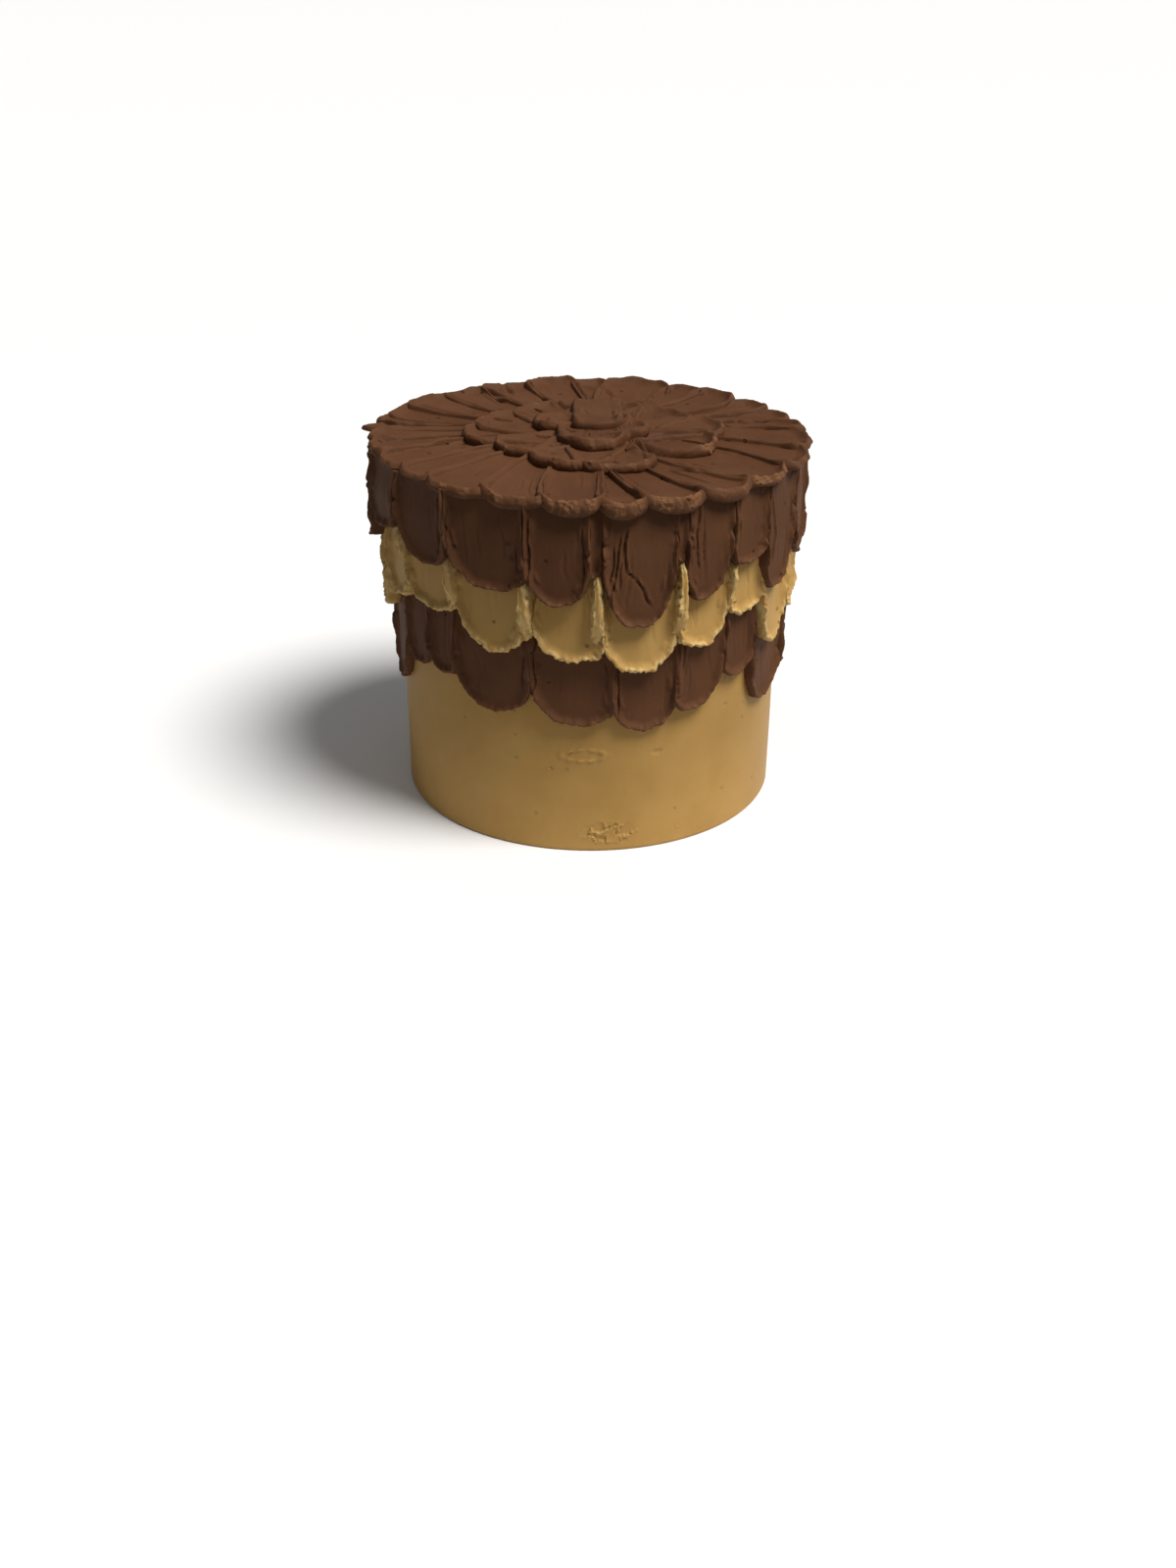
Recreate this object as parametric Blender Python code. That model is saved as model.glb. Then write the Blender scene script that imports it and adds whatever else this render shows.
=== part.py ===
"""Tall round layer cake, iced smooth and tan, with three overlapping rows of petals swiped round its
side in two colours and three rings of petals on its top.

Metres, +Z up, origin at the centre of the flat base. Azimuth 0 is the front (-Y), growing towards +X.
"""
import math
import random
from dataclasses import dataclass

import bmesh
import bpy

MM = 0.001
GAP = 0.3 * MM

# Iced body: a straight drum whose coat grows by a step behind each row of petals
BASE_RADIUS = 75.8 * MM
BASE_ROUND = 0.8 * MM
LOWER_ROW_TOP = 103.0 * MM
MIDDLE_ROW_TOP = 124.5 * MM
TOP_PLANE = 139.5 * MM
MIDDLE_ROW_SEAT = 79.1 * MM
UPPER_ROW_SEAT = 81.7 * MM
BODY_STEPS = 120

# Petals on the side: radius of the swiped faces, and what stands out from them
LOWER_FACE = 78.2 * MM
MIDDLE_FACE = 81.3 * MM
UPPER_FACE = 84.4 * MM
MIDDLE_LEAN = 0.9 * MM
UPPER_LEAN = 1.5 * MM
SIDE_RIDGE = 1.0 * MM
SIDE_LIP = 1.1 * MM
SIDE_LIP_HEIGHT = 3.2 * MM
RIM_TUCK = 0.5 * MM

# Petals on the top: heights of the swiped faces, and the radii where each ring is seated
OUTER_FACE = 142.4 * MM
INNER_FACE = 144.9 * MM
CENTRE_FACE = 146.7 * MM
OUTER_COVERED = 142.9 * MM
INNER_COVERED = 145.3 * MM
OUTER_RING_SEAT = 38.0 * MM
INNER_RING_SEAT = 12.0 * MM
TOP_RIDGE = 1.3 * MM
TOP_LIP = 1.4 * MM
TOP_LIP_WIDTH = 4.0 * MM
CENTRE_DAB_RADIUS = 7.0 * MM
CENTRE_DAB_RISE = 1.2 * MM

# How one petal is divided: places across its width, from its left seam at -1 to its right one at 1
SIDES = (-1.0, -0.86, -0.62, -0.3, 0.3, 0.62, 0.86)
RIDGE_SIDE = 0.86
RIDGE_WIDTH = 0.2
TIP_SHAPE = 2.4
CLEAR_WINDOW = 7.0
CLEAR_STEP = 0.5
CLEARANCE = 0.6 * MM

# Petals seen in the front: azimuth of the left seam, reach at that seam, reach of the tip, in mm
LOWER_FRONT = (
    (-84.0, 66.0, 50.9), (-63.0, 71.0, 64.6), (-51.1, 71.0, 66.0), (-39.6, 70.0, 56.6),
    (-16.1, 67.1, 54.4), (6.5, 61.0, 51.4), (24.7, 61.5, 57.2), (40.0, 70.0, 66.0),
    (52.0, 70.0, 49.0), (68.0, 66.0, 56.0),
)
MIDDLE_FRONT = (
    (-90.0, 94.0, 78.1), (-72.0, 99.0, 91.0), (-56.6, 99.5, 92.5), (-38.1, 97.0, 82.2),
    (-17.2, 100.0, 81.0), (5.0, 88.0, 76.3), (24.3, 88.0, 83.0), (39.5, 96.5, 91.5),
    (53.9, 94.5, 73.4), (70.0, 90.0, 80.0),
)
UPPER_FRONT = (
    (-92.0, 121.0, 107.5), (-75.0, 126.0, 117.0), (-56.7, 125.0, 111.5), (-37.4, 121.0, 107.0),
    (-16.0, 114.0, 104.1), (1.1, 116.6, 94.9), (22.1, 116.5, 102.5), (38.0, 117.7, 112.0),
    (51.0, 115.0, 97.9), (67.0, 117.0, 104.0),
)
BACK_START = 84.5
BACK_COUNT = 10

# Petals of the top, all round: azimuth of the left seam, radius at that seam, radius of the tip, in mm
RIM = (
    (-68.7, 83.0, 85.6), (-56.0, 82.6, 85.2), (-44.2, 82.6, 85.8), (-26.2, 82.8, 85.6),
    (-10.9, 83.0, 86.2), (1.6, 83.6, 86.6), (12.0, 83.6, 86.2), (28.3, 83.0, 85.6),
    (43.5, 82.6, 85.2), (57.0, 82.6, 85.4), (77.8, 82.4, 85.9), (96.8, 82.6, 85.4),
    (116.3, 82.4, 85.4), (130.7, 82.8, 85.6), (144.5, 82.4, 85.8), (163.0, 82.8, 86.2),
    (181.0, 82.6, 86.0), (204.0, 82.4, 85.6), (222.5, 82.6, 85.4), (239.0, 82.6, 85.8),
    (263.6, 83.2, 86.6), (278.0, 82.6, 86.0),
)
INNER = (
    (-85.0, 41.0, 48.0), (-42.0, 41.5, 47.5), (-3.0, 42.5, 50.5), (30.0, 41.0, 47.5),
    (52.0, 41.5, 48.0), (92.0, 40.5, 46.5), (125.0, 41.0, 47.0), (165.0, 40.5, 46.0),
    (203.0, 41.0, 47.5), (238.0, 40.5, 46.5),
)
CENTRE = (
    (-75.0, 16.5, 22.5), (-8.0, 17.0, 23.5), (45.0, 16.5, 22.0), (110.0, 17.0, 23.0),
    (190.0, 16.5, 22.5),
)

TAN = (150, 117, 64)
CHOCOLATE = (88, 60, 43)


@dataclass(frozen=True)
class Petal:
    """One swiped petal: azimuth of its left seam, how far its edge reaches there and at its tip."""
    seam: float
    cusp: float
    tip: float


@dataclass(frozen=True)
class Column:
    """One upright cut through a ring: its azimuth, the edge's reach there and the ridge, 0 to 1."""
    azimuth: float
    reach: float
    ridge: float


class Ring:
    """A closed ring of petals, each joined to the next at a seam."""

    def __init__(self, rows):
        self.petals = [Petal(seam, cusp * MM, tip * MM) for seam, cusp, tip in rows]

    def _edge(self, index, side):
        """Reach of a petal's edge at a place across it, on a rounded tip between two cusps."""
        petal = self.petals[index]
        following = self.petals[(index + 1) % len(self.petals)]
        cusp = petal.cusp if side < 0 else following.cusp
        roundness = (1 - abs(side) ** TIP_SHAPE) ** (1 / TIP_SHAPE)
        return cusp + (petal.tip - cusp) * roundness

    def _span(self, index):
        """Azimuths of a petal's two seams."""
        start = self.petals[index].seam
        following = self.petals[(index + 1) % len(self.petals)].seam
        return start, start + (following - start) % 360

    def columns(self):
        """All cuts round the ring, in order of azimuth."""
        found = []
        for index in range(len(self.petals)):
            start, end = self._span(index)
            for side in SIDES:
                azimuth = start + (end - start) * (side + 1) / 2
                ridge = max(0.0, 1 - abs(abs(side) - RIDGE_SIDE) / RIDGE_WIDTH)
                found.append(Column(azimuth, self._edge(index, side), ridge))
        return found

    def reach(self, azimuth):
        """Reach of the edge at any azimuth."""
        for index in range(len(self.petals)):
            start, end = self._span(index)
            along = (azimuth - start) % 360
            if along <= end - start:
                return self._edge(index, 2 * along / (end - start) - 1)
        return self.petals[0].cusp

    def clear_of(self, azimuth, choose):
        """The edge's lowest (min) or furthest (max) reach near an azimuth, with room to spare."""
        count = int(CLEAR_WINDOW / CLEAR_STEP)
        near = [self.reach(azimuth + CLEAR_STEP * k) for k in range(-count, count + 1)]
        spare = -CLEARANCE if choose is min else CLEARANCE
        return choose(near) + spare


def side_ring(front, tips, drop, seed):
    """A row of the side: the petals seen in front, and as many again spread over the back."""
    draw = random.Random(seed)
    width = (front[0][0] + 360 - BACK_START) / BACK_COUNT
    back = []
    for index in range(BACK_COUNT):
        tip = draw.uniform(*tips)
        seam = BACK_START + width * (index + draw.uniform(-0.1, 0.1) * (index > 0))
        back.append((seam, tips[1] + draw.uniform(*drop), tip))
    return Ring(list(front) + back)


def polar(azimuth, radius, height):
    """A point at an azimuth in degrees from the front."""
    angle = math.radians(azimuth)
    return radius * math.sin(angle), -radius * math.cos(angle), height


def skin(name, columns, sections, material):
    """Makes one closed body from sections of (radius, height) points, one for each column round it."""
    mesh_maker = bmesh.new()
    poles = {}
    rows = []
    for column, section in zip(columns, sections):
        row = []
        for place, (radius, height) in enumerate(section):
            if radius > 0:
                row.append(mesh_maker.verts.new(polar(column.azimuth, radius, height)))
                continue
            if place not in poles:
                poles[place] = mesh_maker.verts.new((0, 0, height))
            row.append(poles[place])
        rows.append(row)
    size = len(rows[0])
    last = size if not poles else size - 1
    for index, row in enumerate(rows):
        following = rows[(index + 1) % len(rows)]
        for place in range(last):
            above = (place + 1) % size
            corners = [row[place], following[place], following[above], row[above]]
            mesh_maker.faces.new(list(dict.fromkeys(corners)))
    bmesh.ops.triangulate(mesh_maker, faces=mesh_maker.faces)
    bmesh.ops.recalc_face_normals(mesh_maker, faces=mesh_maker.faces)
    return finish(name, mesh_maker, material)


def finish(name, mesh_maker, material):
    """Turns a bmesh into a named, smooth-shaded object with its material."""
    mesh = bpy.data.meshes.new(name)
    mesh_maker.to_mesh(mesh)
    mesh_maker.free()
    mesh.materials.append(material)
    mesh.shade_smooth()
    mesh.set_sharp_from_angle(angle=math.radians(40))
    made = bpy.data.objects.new(name, mesh)
    bpy.context.scene.collection.objects.link(made)
    return made


def icing(name, colour, roughness):
    """A Principled material for one colour of buttercream, given in display values of 0 to 255."""
    material = bpy.data.materials.new(name)
    material.use_nodes = True
    shader = material.node_tree.nodes["Principled BSDF"]
    linear = [((value / 255 + 0.055) / 1.055) ** 2.4 for value in colour]
    shader.inputs["Base Color"].default_value = (*linear, 1)
    shader.inputs["Roughness"].default_value = roughness
    shader.inputs["Metallic"].default_value = 0
    material.diffuse_color = (*linear, 1)
    return material


def make_body(material):
    """The iced body: a profile of the stepped drum, spun round the axis."""
    profile = (
        (0, 0),
        (BASE_RADIUS - BASE_ROUND, 0),
        (BASE_RADIUS, BASE_ROUND),
        (BASE_RADIUS, LOWER_ROW_TOP + GAP),
        (MIDDLE_ROW_SEAT, LOWER_ROW_TOP + GAP),
        (MIDDLE_ROW_SEAT, MIDDLE_ROW_TOP + GAP),
        (UPPER_ROW_SEAT, MIDDLE_ROW_TOP + GAP),
        (UPPER_ROW_SEAT, TOP_PLANE),
        (0, TOP_PLANE),
    )
    turns = [Column(360 * step / BODY_STEPS, 0, 0) for step in range(BODY_STEPS)]
    return skin("cake_body", turns, [profile] * BODY_STEPS, material)


def side_row(name, ring, seat, face, lean, top, cover, tuck, material):
    """One row of side petals: a band seated on the body, with scalloped lips, ridges and faces.

    Above `cover`, a function of the azimuth, the band stays flush for the row that lies on it.
    """
    columns = ring.columns()
    sections = []
    for column in columns:
        plain = face - lean * math.sin(math.radians(column.azimuth))
        crest = plain + SIDE_RIDGE * column.ridge
        edge = column.reach
        limit, flush = cover(column.azimuth)
        lip = min(SIDE_LIP_HEIGHT, (limit - edge) * 0.6)
        sections.append((
            (seat, edge + lip * 0.3),
            (plain - SIDE_LIP * 0.5, edge),
            (plain + SIDE_LIP, edge + lip * 0.25),
            (crest + SIDE_LIP * 0.5, edge + lip * 0.75),
            (crest, edge + lip),
            (min(crest, flush), limit),
            (min(crest, flush) - tuck, top),
            (seat, top),
        ))
    return skin(name, columns, sections, material)


def top_ring(name, ring, under, thick, face, cover, middle, material):
    """One ring of top petals: a plate with scalloped lips, radial ridges and swiped faces.

    `under` is its underside from the middle out to the tips, `cover` gives the radius inside which
    the next ring lies on it and the height to stay below there, and `middle` ends the upper side.
    """
    columns = ring.columns()
    sections = []
    for column in columns:
        tip = column.reach
        crest = face + TOP_RIDGE * column.ridge
        limit, flush = cover(column.azimuth)
        foot = tip - min(TOP_LIP_WIDTH, (tip - limit) * 0.6)
        base = under[-1][1]
        sections.append((
            *under,
            (tip - TOP_LIP * 0.6, base),
            (tip, base + thick * 0.35),
            (tip - TOP_LIP * 0.5, face + TOP_LIP * 0.7),
            ((tip + foot) / 2, crest + TOP_LIP),
            (foot, crest),
            (limit, min(crest, flush)),
            *middle,
        ))
    return skin(name, columns, sections, material)


def make_side(tan, chocolate):
    """The three rows of the side, from the lowest up, each lying over the top of the last."""
    lower = side_ring(LOWER_FRONT, tips=(50, 62), drop=(3, 7), seed=11)
    middle = side_ring(MIDDLE_FRONT, tips=(76, 86), drop=(4, 9), seed=12)
    upper = side_ring(UPPER_FRONT, tips=(98, 111), drop=(5, 9), seed=13)

    def under_middle(azimuth):
        return middle.clear_of(azimuth, min), MIDDLE_ROW_SEAT

    def under_upper(azimuth):
        return upper.clear_of(azimuth, min), UPPER_ROW_SEAT

    def under_rim(azimuth):
        return TOP_PLANE - SIDE_LIP_HEIGHT, math.inf

    side_row("side_petals_lower", lower, BASE_RADIUS + GAP, LOWER_FACE, 0, LOWER_ROW_TOP,
             under_middle, 0, chocolate)
    side_row("side_petals_middle", middle, MIDDLE_ROW_SEAT + GAP, MIDDLE_FACE, MIDDLE_LEAN,
             MIDDLE_ROW_TOP, under_upper, 0, tan)
    side_row("side_petals_upper", upper, UPPER_ROW_SEAT + GAP, UPPER_FACE, UPPER_LEAN, TOP_PLANE,
             under_rim, RIM_TUCK, chocolate)


def make_top(chocolate):
    """The three rings of the top, from the rim in, each lying over the inner end of the last."""
    rim, inner, centre = Ring(RIM), Ring(INNER), Ring(CENTRE)
    floor = TOP_PLANE + GAP

    def under_inner(azimuth):
        return inner.clear_of(azimuth, max), OUTER_COVERED

    def under_centre(azimuth):
        return centre.clear_of(azimuth, max), INNER_COVERED

    def under_dab(azimuth):
        return CENTRE_DAB_RADIUS, CENTRE_FACE

    top_ring(
        "top_petals_outer", rim, [(OUTER_RING_SEAT, floor)], OUTER_FACE - floor, OUTER_FACE,
        under_inner, [(OUTER_RING_SEAT, OUTER_COVERED)], chocolate)
    seat = OUTER_RING_SEAT - GAP
    over = OUTER_COVERED + GAP
    top_ring(
        "top_petals_inner", inner, [(INNER_RING_SEAT, floor), (seat, floor), (seat, over)],
        INNER_FACE - over, INNER_FACE, under_centre, [(INNER_RING_SEAT, INNER_COVERED)], chocolate)
    seat = INNER_RING_SEAT - GAP
    over = INNER_COVERED + GAP
    top_ring(
        "top_petals_centre", centre, [(0, floor), (seat, floor), (seat, over)],
        CENTRE_FACE - over, CENTRE_FACE, under_dab, [(0, CENTRE_FACE + CENTRE_DAB_RISE)], chocolate)


def main():
    """Clears the scene and models the cake."""
    for old in list(bpy.data.objects):
        bpy.data.objects.remove(old)
    tan = icing("tan_buttercream", TAN, roughness=0.55)
    chocolate = icing("chocolate_buttercream", CHOCOLATE, roughness=0.5)
    make_body(tan)
    make_side(tan, chocolate)
    make_top(chocolate)


main()
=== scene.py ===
"""Looks of the layer cake: swiped buttercream petals over a smooth iced drum, light, floor and camera.

Every petal is a closed swipe of icing with a dished face, raised sides and a rolled, ragged lip.
Azimuths are in degrees from the front (-Y), growing towards +X. Sizes are in millimetres up to the
point where a mesh is made, which is in metres like the frame.
"""
import logging
import math
from dataclasses import dataclass
from enum import Enum

import bpy
import numpy as np
from mathutils import Matrix, Vector


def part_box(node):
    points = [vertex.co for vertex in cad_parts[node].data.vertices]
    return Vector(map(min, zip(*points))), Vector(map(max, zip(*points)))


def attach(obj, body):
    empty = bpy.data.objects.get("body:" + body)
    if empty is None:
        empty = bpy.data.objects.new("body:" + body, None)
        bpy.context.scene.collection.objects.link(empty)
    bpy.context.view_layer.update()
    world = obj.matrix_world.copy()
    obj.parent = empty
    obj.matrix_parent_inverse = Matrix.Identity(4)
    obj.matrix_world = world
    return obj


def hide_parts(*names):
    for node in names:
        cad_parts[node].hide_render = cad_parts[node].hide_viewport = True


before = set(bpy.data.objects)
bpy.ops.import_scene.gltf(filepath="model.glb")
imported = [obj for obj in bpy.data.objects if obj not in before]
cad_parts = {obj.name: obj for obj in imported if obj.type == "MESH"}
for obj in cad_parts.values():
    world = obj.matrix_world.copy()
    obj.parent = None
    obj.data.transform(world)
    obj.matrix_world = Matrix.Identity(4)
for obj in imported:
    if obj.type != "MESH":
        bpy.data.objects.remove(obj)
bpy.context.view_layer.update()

LOG = logging.getLogger("layer_cake")
MM = 0.001
BODY = "root"


class Lay(Enum):
    """How a row of petals lies on the cake."""

    SIDE = "side"
    TOP = "top"


class Slot(Enum):
    """The record's material slots."""

    TAN = "tan_icing"
    CHOCOLATE = "chocolate_icing"


# Node trees


class Value:
    """A socket of a node tree, on which arithmetic adds Math nodes."""

    def __init__(self, tree: "Tree", socket: bpy.types.NodeSocket) -> None:
        """Wraps a socket.

        Args:
            tree: The tree that the socket is in.
            socket: An output socket.
        """
        self.tree = tree
        self.socket = socket

    def _math(self, operation: str, first: object, second: object) -> "Value":
        """The result of one Math node on two values or sockets."""
        return self.tree.add("ShaderNodeMath", {"operation": operation}, {0: first, 1: second})

    def __add__(self, other: object) -> "Value":
        """The sum of two values."""
        return self._math("ADD", self, other)

    __radd__ = __add__

    def __sub__(self, other: object) -> "Value":
        """This value less another."""
        return self._math("SUBTRACT", self, other)

    def __rsub__(self, other: object) -> "Value":
        """Another value less this one."""
        return self._math("SUBTRACT", other, self)

    def __mul__(self, other: object) -> "Value":
        """The product of two values."""
        return self._math("MULTIPLY", self, other)

    __rmul__ = __mul__

    def step(self, low: float, high: float) -> "Value":
        """A smooth step of this value, from 0 where it is low to 1 where it is high."""
        settings = {"interpolation_type": "SMOOTHSTEP"}
        return self.tree.add("ShaderNodeMapRange", settings, {0: self, 1: low, 2: high})

    def scaled(self, factors: object) -> "Value":
        """This vector times another, or times a number, entry by entry."""
        return self.tree.add("ShaderNodeVectorMath", {"operation": "MULTIPLY"}, {0: self, 1: factors})

    def moved(self, offset: object) -> "Value":
        """This vector plus another."""
        return self.tree.add("ShaderNodeVectorMath", {"operation": "ADD"}, {0: self, 1: offset})


class Tree:
    """A node tree with one way of adding nodes."""

    def __init__(self, tree: bpy.types.NodeTree) -> None:
        """Wraps a node tree.

        Args:
            tree: The tree to add to.
        """
        self.tree = tree

    def add(self, kind: str, settings: dict | None = None, sockets: dict | None = None,
            output: int | str = 0) -> Value:
        """Adds one node.

        Args:
            kind: The node's type.
            settings: Its properties, set first.
            sockets: Values or links of its inputs, by name or number.
            output: The output to return, by name or number.

        Returns:
            That output.
        """
        node = self.tree.nodes.new(kind)
        for name, value in (settings or {}).items():
            setattr(node, name, value)
        for name, value in (sockets or {}).items():
            if isinstance(value, Value):
                self.tree.links.new(value.socket, node.inputs[name])
            else:
                self._set(node.inputs[name], value)
        return Value(self, node.outputs[output]) if len(node.outputs) else Value(self, None)

    @staticmethod
    def _set(socket: bpy.types.NodeSocket, value: object) -> None:
        """Sets an unlinked input; one number stands for all entries of a vector or colour.

        Args:
            socket: The input.
            value: Its value, where a colour may leave out its alpha.
        """
        size = len(socket.default_value) if hasattr(socket.default_value, "__len__") else 0
        if size and not isinstance(value, str):
            entries = list(value) if hasattr(value, "__len__") else [value] * size
            socket.default_value = entries + [1.0] * (size - len(entries))
        else:
            socket.default_value = value

    def noise(self, where: Value, scale: float, detail: float = 2.0, seed: object = 0.0,
              roughness: float = 0.5) -> Value:
        """Adds fractal noise, from about 0 to 1.

        Args:
            where: The vector that it is read at.
            scale: Features to each unit of that vector.
            detail: Octaves.
            seed: Its fourth coordinate.
            roughness: Weight of the finer octaves.

        Returns:
            The noise.
        """
        sockets = {"Vector": where, "W": seed, "Scale": scale, "Detail": detail, "Roughness": roughness}
        return self.add("ShaderNodeTexNoise", {"noise_dimensions": "4D"}, sockets)

    def cells(self, where: Value, scale: float, output: str = "Distance") -> Value:
        """Adds Voronoi cells, read as the distance to a cell's middle or as the cell's colour."""
        settings = {"voronoi_dimensions": "3D", "feature": "F1"}
        return self.add("ShaderNodeTexVoronoi", settings, {"Vector": where, "Scale": scale}, output)


# Finishes

# Features to the metre in the icing's patterns
PATCH_SCALE = 38
STROKE_SCALE = 900
PIT_SCALE = 150
BUBBLE_SCALE = 900
# Depth of the air pits, and the radius that the fine strokes are drawn at, in mm
PIT_DEPTH = 0.6
RIM_RADIUS = 84.0


@dataclass(frozen=True)
class Buttercream:
    """One colour of buttercream, in linear colour.

    Args:
        name: The material's name.
        face: Colour of the smoothed faces.
        deep: Colour of thick, fatty patches; also painted as shade into the relief's low places and the air
            pits.
        torn: Colour of torn edges, which scatter more light.
        gloss: Roughness of the smoothed faces.
        grain: Height of the fine grain, in mm.
        stretch: How short the fine strokes are along the knife's way, as a share of their width.
        stroke: Height of the fine strokes, as a share of the grain.
        pits: How strongly the small air pits show, both in the bump and in their painted shade.
    """

    name: str
    face: tuple[float, float, float]
    deep: tuple[float, float, float]
    torn: tuple[float, float, float]
    gloss: float
    grain: float
    stretch: float = 0.12
    stroke: float = 0.5
    pits: float = 1.0

    def material(self) -> bpy.types.Material:
        """Builds the material.

        Returns:
            A node material on Object coordinates and the attributes `torn` and `relief`.
        """
        made = bpy.data.materials.new(self.name)
        made.use_nodes = True
        made.node_tree.nodes.clear()
        tree = Tree(made.node_tree)
        where = tree.add("ShaderNodeTexCoord", output="Object")
        torn = tree.add("ShaderNodeAttribute", {"attribute_name": "torn"}, output="Fac")
        relief = tree.add("ShaderNodeAttribute", {"attribute_name": "relief"}, output="Fac")
        patches = tree.noise(where, scale=PATCH_SCALE, detail=3, roughness=0.6)
        level = where.scaled((1, 1, 0))
        radius = tree.add("ShaderNodeVectorMath", {"operation": "LENGTH"}, {0: level}, output="Value")
        height = tree.add("ShaderNodeSeparateXYZ", None, {0: where}, output="Z")
        rim = tree.add("ShaderNodeVectorMath", {"operation": "NORMALIZE"}, {0: level}).scaled(RIM_RADIUS * MM)
        travel = tree.add("ShaderNodeCombineXYZ", None, {"Z": (radius - height) * self.stretch})
        strokes = tree.noise(rim.moved(travel), scale=STROKE_SCALE, detail=3, seed=1.5, roughness=0.65)
        speckle = tree.noise(where, scale=520, detail=2, seed=3.0)
        tone = patches * 0.9 + strokes * 0.1
        colour = self._blend(tree, tone.step(0.3, 0.72), self.deep, self.face)
        # Painted shade: the low places of the relief attribute (streak and band valleys, tears, pits) are
        # darkened towards the deep colour.
        hollow_shade = relief.step(-0.1, -0.75)
        colour = self._blend(tree, hollow_shade * 0.6, colour, self.deep)
        edge = (torn * (0.55 + speckle * 0.7)).step(0.15, 0.95)
        colour = self._blend(tree, edge, colour, self.torn)
        rough = self.gloss + (patches - 0.5) * 0.16 + edge * 0.14
        fine = tree.noise(where, scale=1900, detail=3, seed=7.0, roughness=0.6)
        coarse = tree.noise(where, scale=430, detail=2, seed=5.0)
        pick = tree.add("ShaderNodeSeparateColor", None, {0: tree.cells(where, PIT_SCALE, "Color")})
        pits = tree.cells(where, PIT_SCALE).step(0.15, 0.1) * pick.step(0.66, 0.68) * self.pits
        # Painted shade: the air pits are darkened to a quarter of the deep colour.
        colour = self._blend(tree, pits * 0.6, colour, tuple(0.25 * part for part in self.deep))
        bubbles = tree.cells(where, BUBBLE_SCALE)
        bump = fine * 0.35 + coarse * 0.8 + strokes * self.stroke * (1 - edge) + bubbles * edge * 1.6
        bump = bump * (self.grain * MM) * (1 + edge * 1.2) - pits * (PIT_DEPTH * MM)
        normal = tree.add("ShaderNodeBump", None, {"Strength": 0.8, "Distance": 1.0, "Height": bump})
        shader = tree.add("ShaderNodeBsdfPrincipled", {"subsurface_method": "RANDOM_WALK"}, {
            "Base Color": colour, "Roughness": rough, "Normal": normal, "Specular IOR Level": 0.14,
            "Subsurface Weight": 0.05, "Subsurface Radius": (1.0, 0.55, 0.3), "Subsurface Scale": 0.0012})
        tree.add("ShaderNodeOutputMaterial", None, {"Surface": shader})
        return made

    @staticmethod
    def _blend(tree: Tree, share: Value, start: object, end: object) -> Value:
        """Mixes two colours or sockets, by the share of the second one."""
        return tree.add("ShaderNodeMix", {"data_type": "RGBA"}, {0: share, 6: start, 7: end}, output=2)


def linear(red: float, green: float, blue: float) -> tuple[float, float, float]:
    """A linear colour from display values of 0 to 255."""
    return tuple(((value / 255 + 0.055) / 1.055) ** 2.4 for value in (red, green, blue))


CHOCOLATE = Buttercream("chocolate_buttercream", face=linear(96, 62, 39), deep=linear(85, 53, 32),
                        torn=linear(118, 81, 54), gloss=0.68, grain=0.12)
# Painted light: the petals' tan is the body's tan buttercream made lighter, to offset the shade that the
# chocolate rows and the rim cast on them.
TAN_PETALS_BRIGHTENED = Buttercream("tan_petal_buttercream_brightened", face=linear(195, 156, 94), deep=linear(184, 144, 80),
                         torn=linear(214, 181, 118), gloss=0.5, grain=0.07, stroke=0.25, pits=0.8)
TAN = Buttercream("tan_buttercream", face=linear(175, 137, 77), deep=linear(164, 127, 67),
                  torn=linear(212, 180, 116), gloss=0.5, grain=0.06, stroke=0.2, pits=0.35)


# Shapes


def ease(value: np.ndarray, low: float, high: float) -> np.ndarray:
    """A smooth step on an array, from 0 where it is low to 1 where it is high."""
    share = np.clip((value - low) / (high - low), 0, 1)
    return share * share * (3 - 2 * share)


class Wobble:
    """A smooth random wave between about -1 and 1, the sum of a few sines."""

    def __init__(self, draw: np.random.Generator, period: float, octaves: int = 4) -> None:
        """Draws a wave.

        Args:
            draw: The random generator.
            period: The longest sine's period.
            octaves: How many sines.
        """
        self.weights = 0.62 ** np.arange(octaves)
        self.speeds = 2 * math.pi / period * 1.87 ** np.arange(octaves) * draw.uniform(0.85, 1.15, octaves)
        self.phases = draw.uniform(0, 2 * math.pi, octaves)

    def __call__(self, value: np.ndarray) -> np.ndarray:
        """The wave's height at each value."""
        value = np.asarray(value, float)[..., None]
        waves = self.weights * np.sin(self.speeds * value + self.phases)
        return waves.sum(-1) / math.sqrt((self.weights ** 2).sum())


@dataclass(frozen=True)
class Groove:
    """A long line that the knife left in a face.

    Args:
        path: Its points (across, along): -1 to 1 from side to side, 0 to 1 from the tip to the far end.
        depth: Its depth in mm.
        width: Its half width in mm.
    """

    path: tuple[tuple[float, float], ...]
    depth: float = 0.6
    width: float = 0.4


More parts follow.
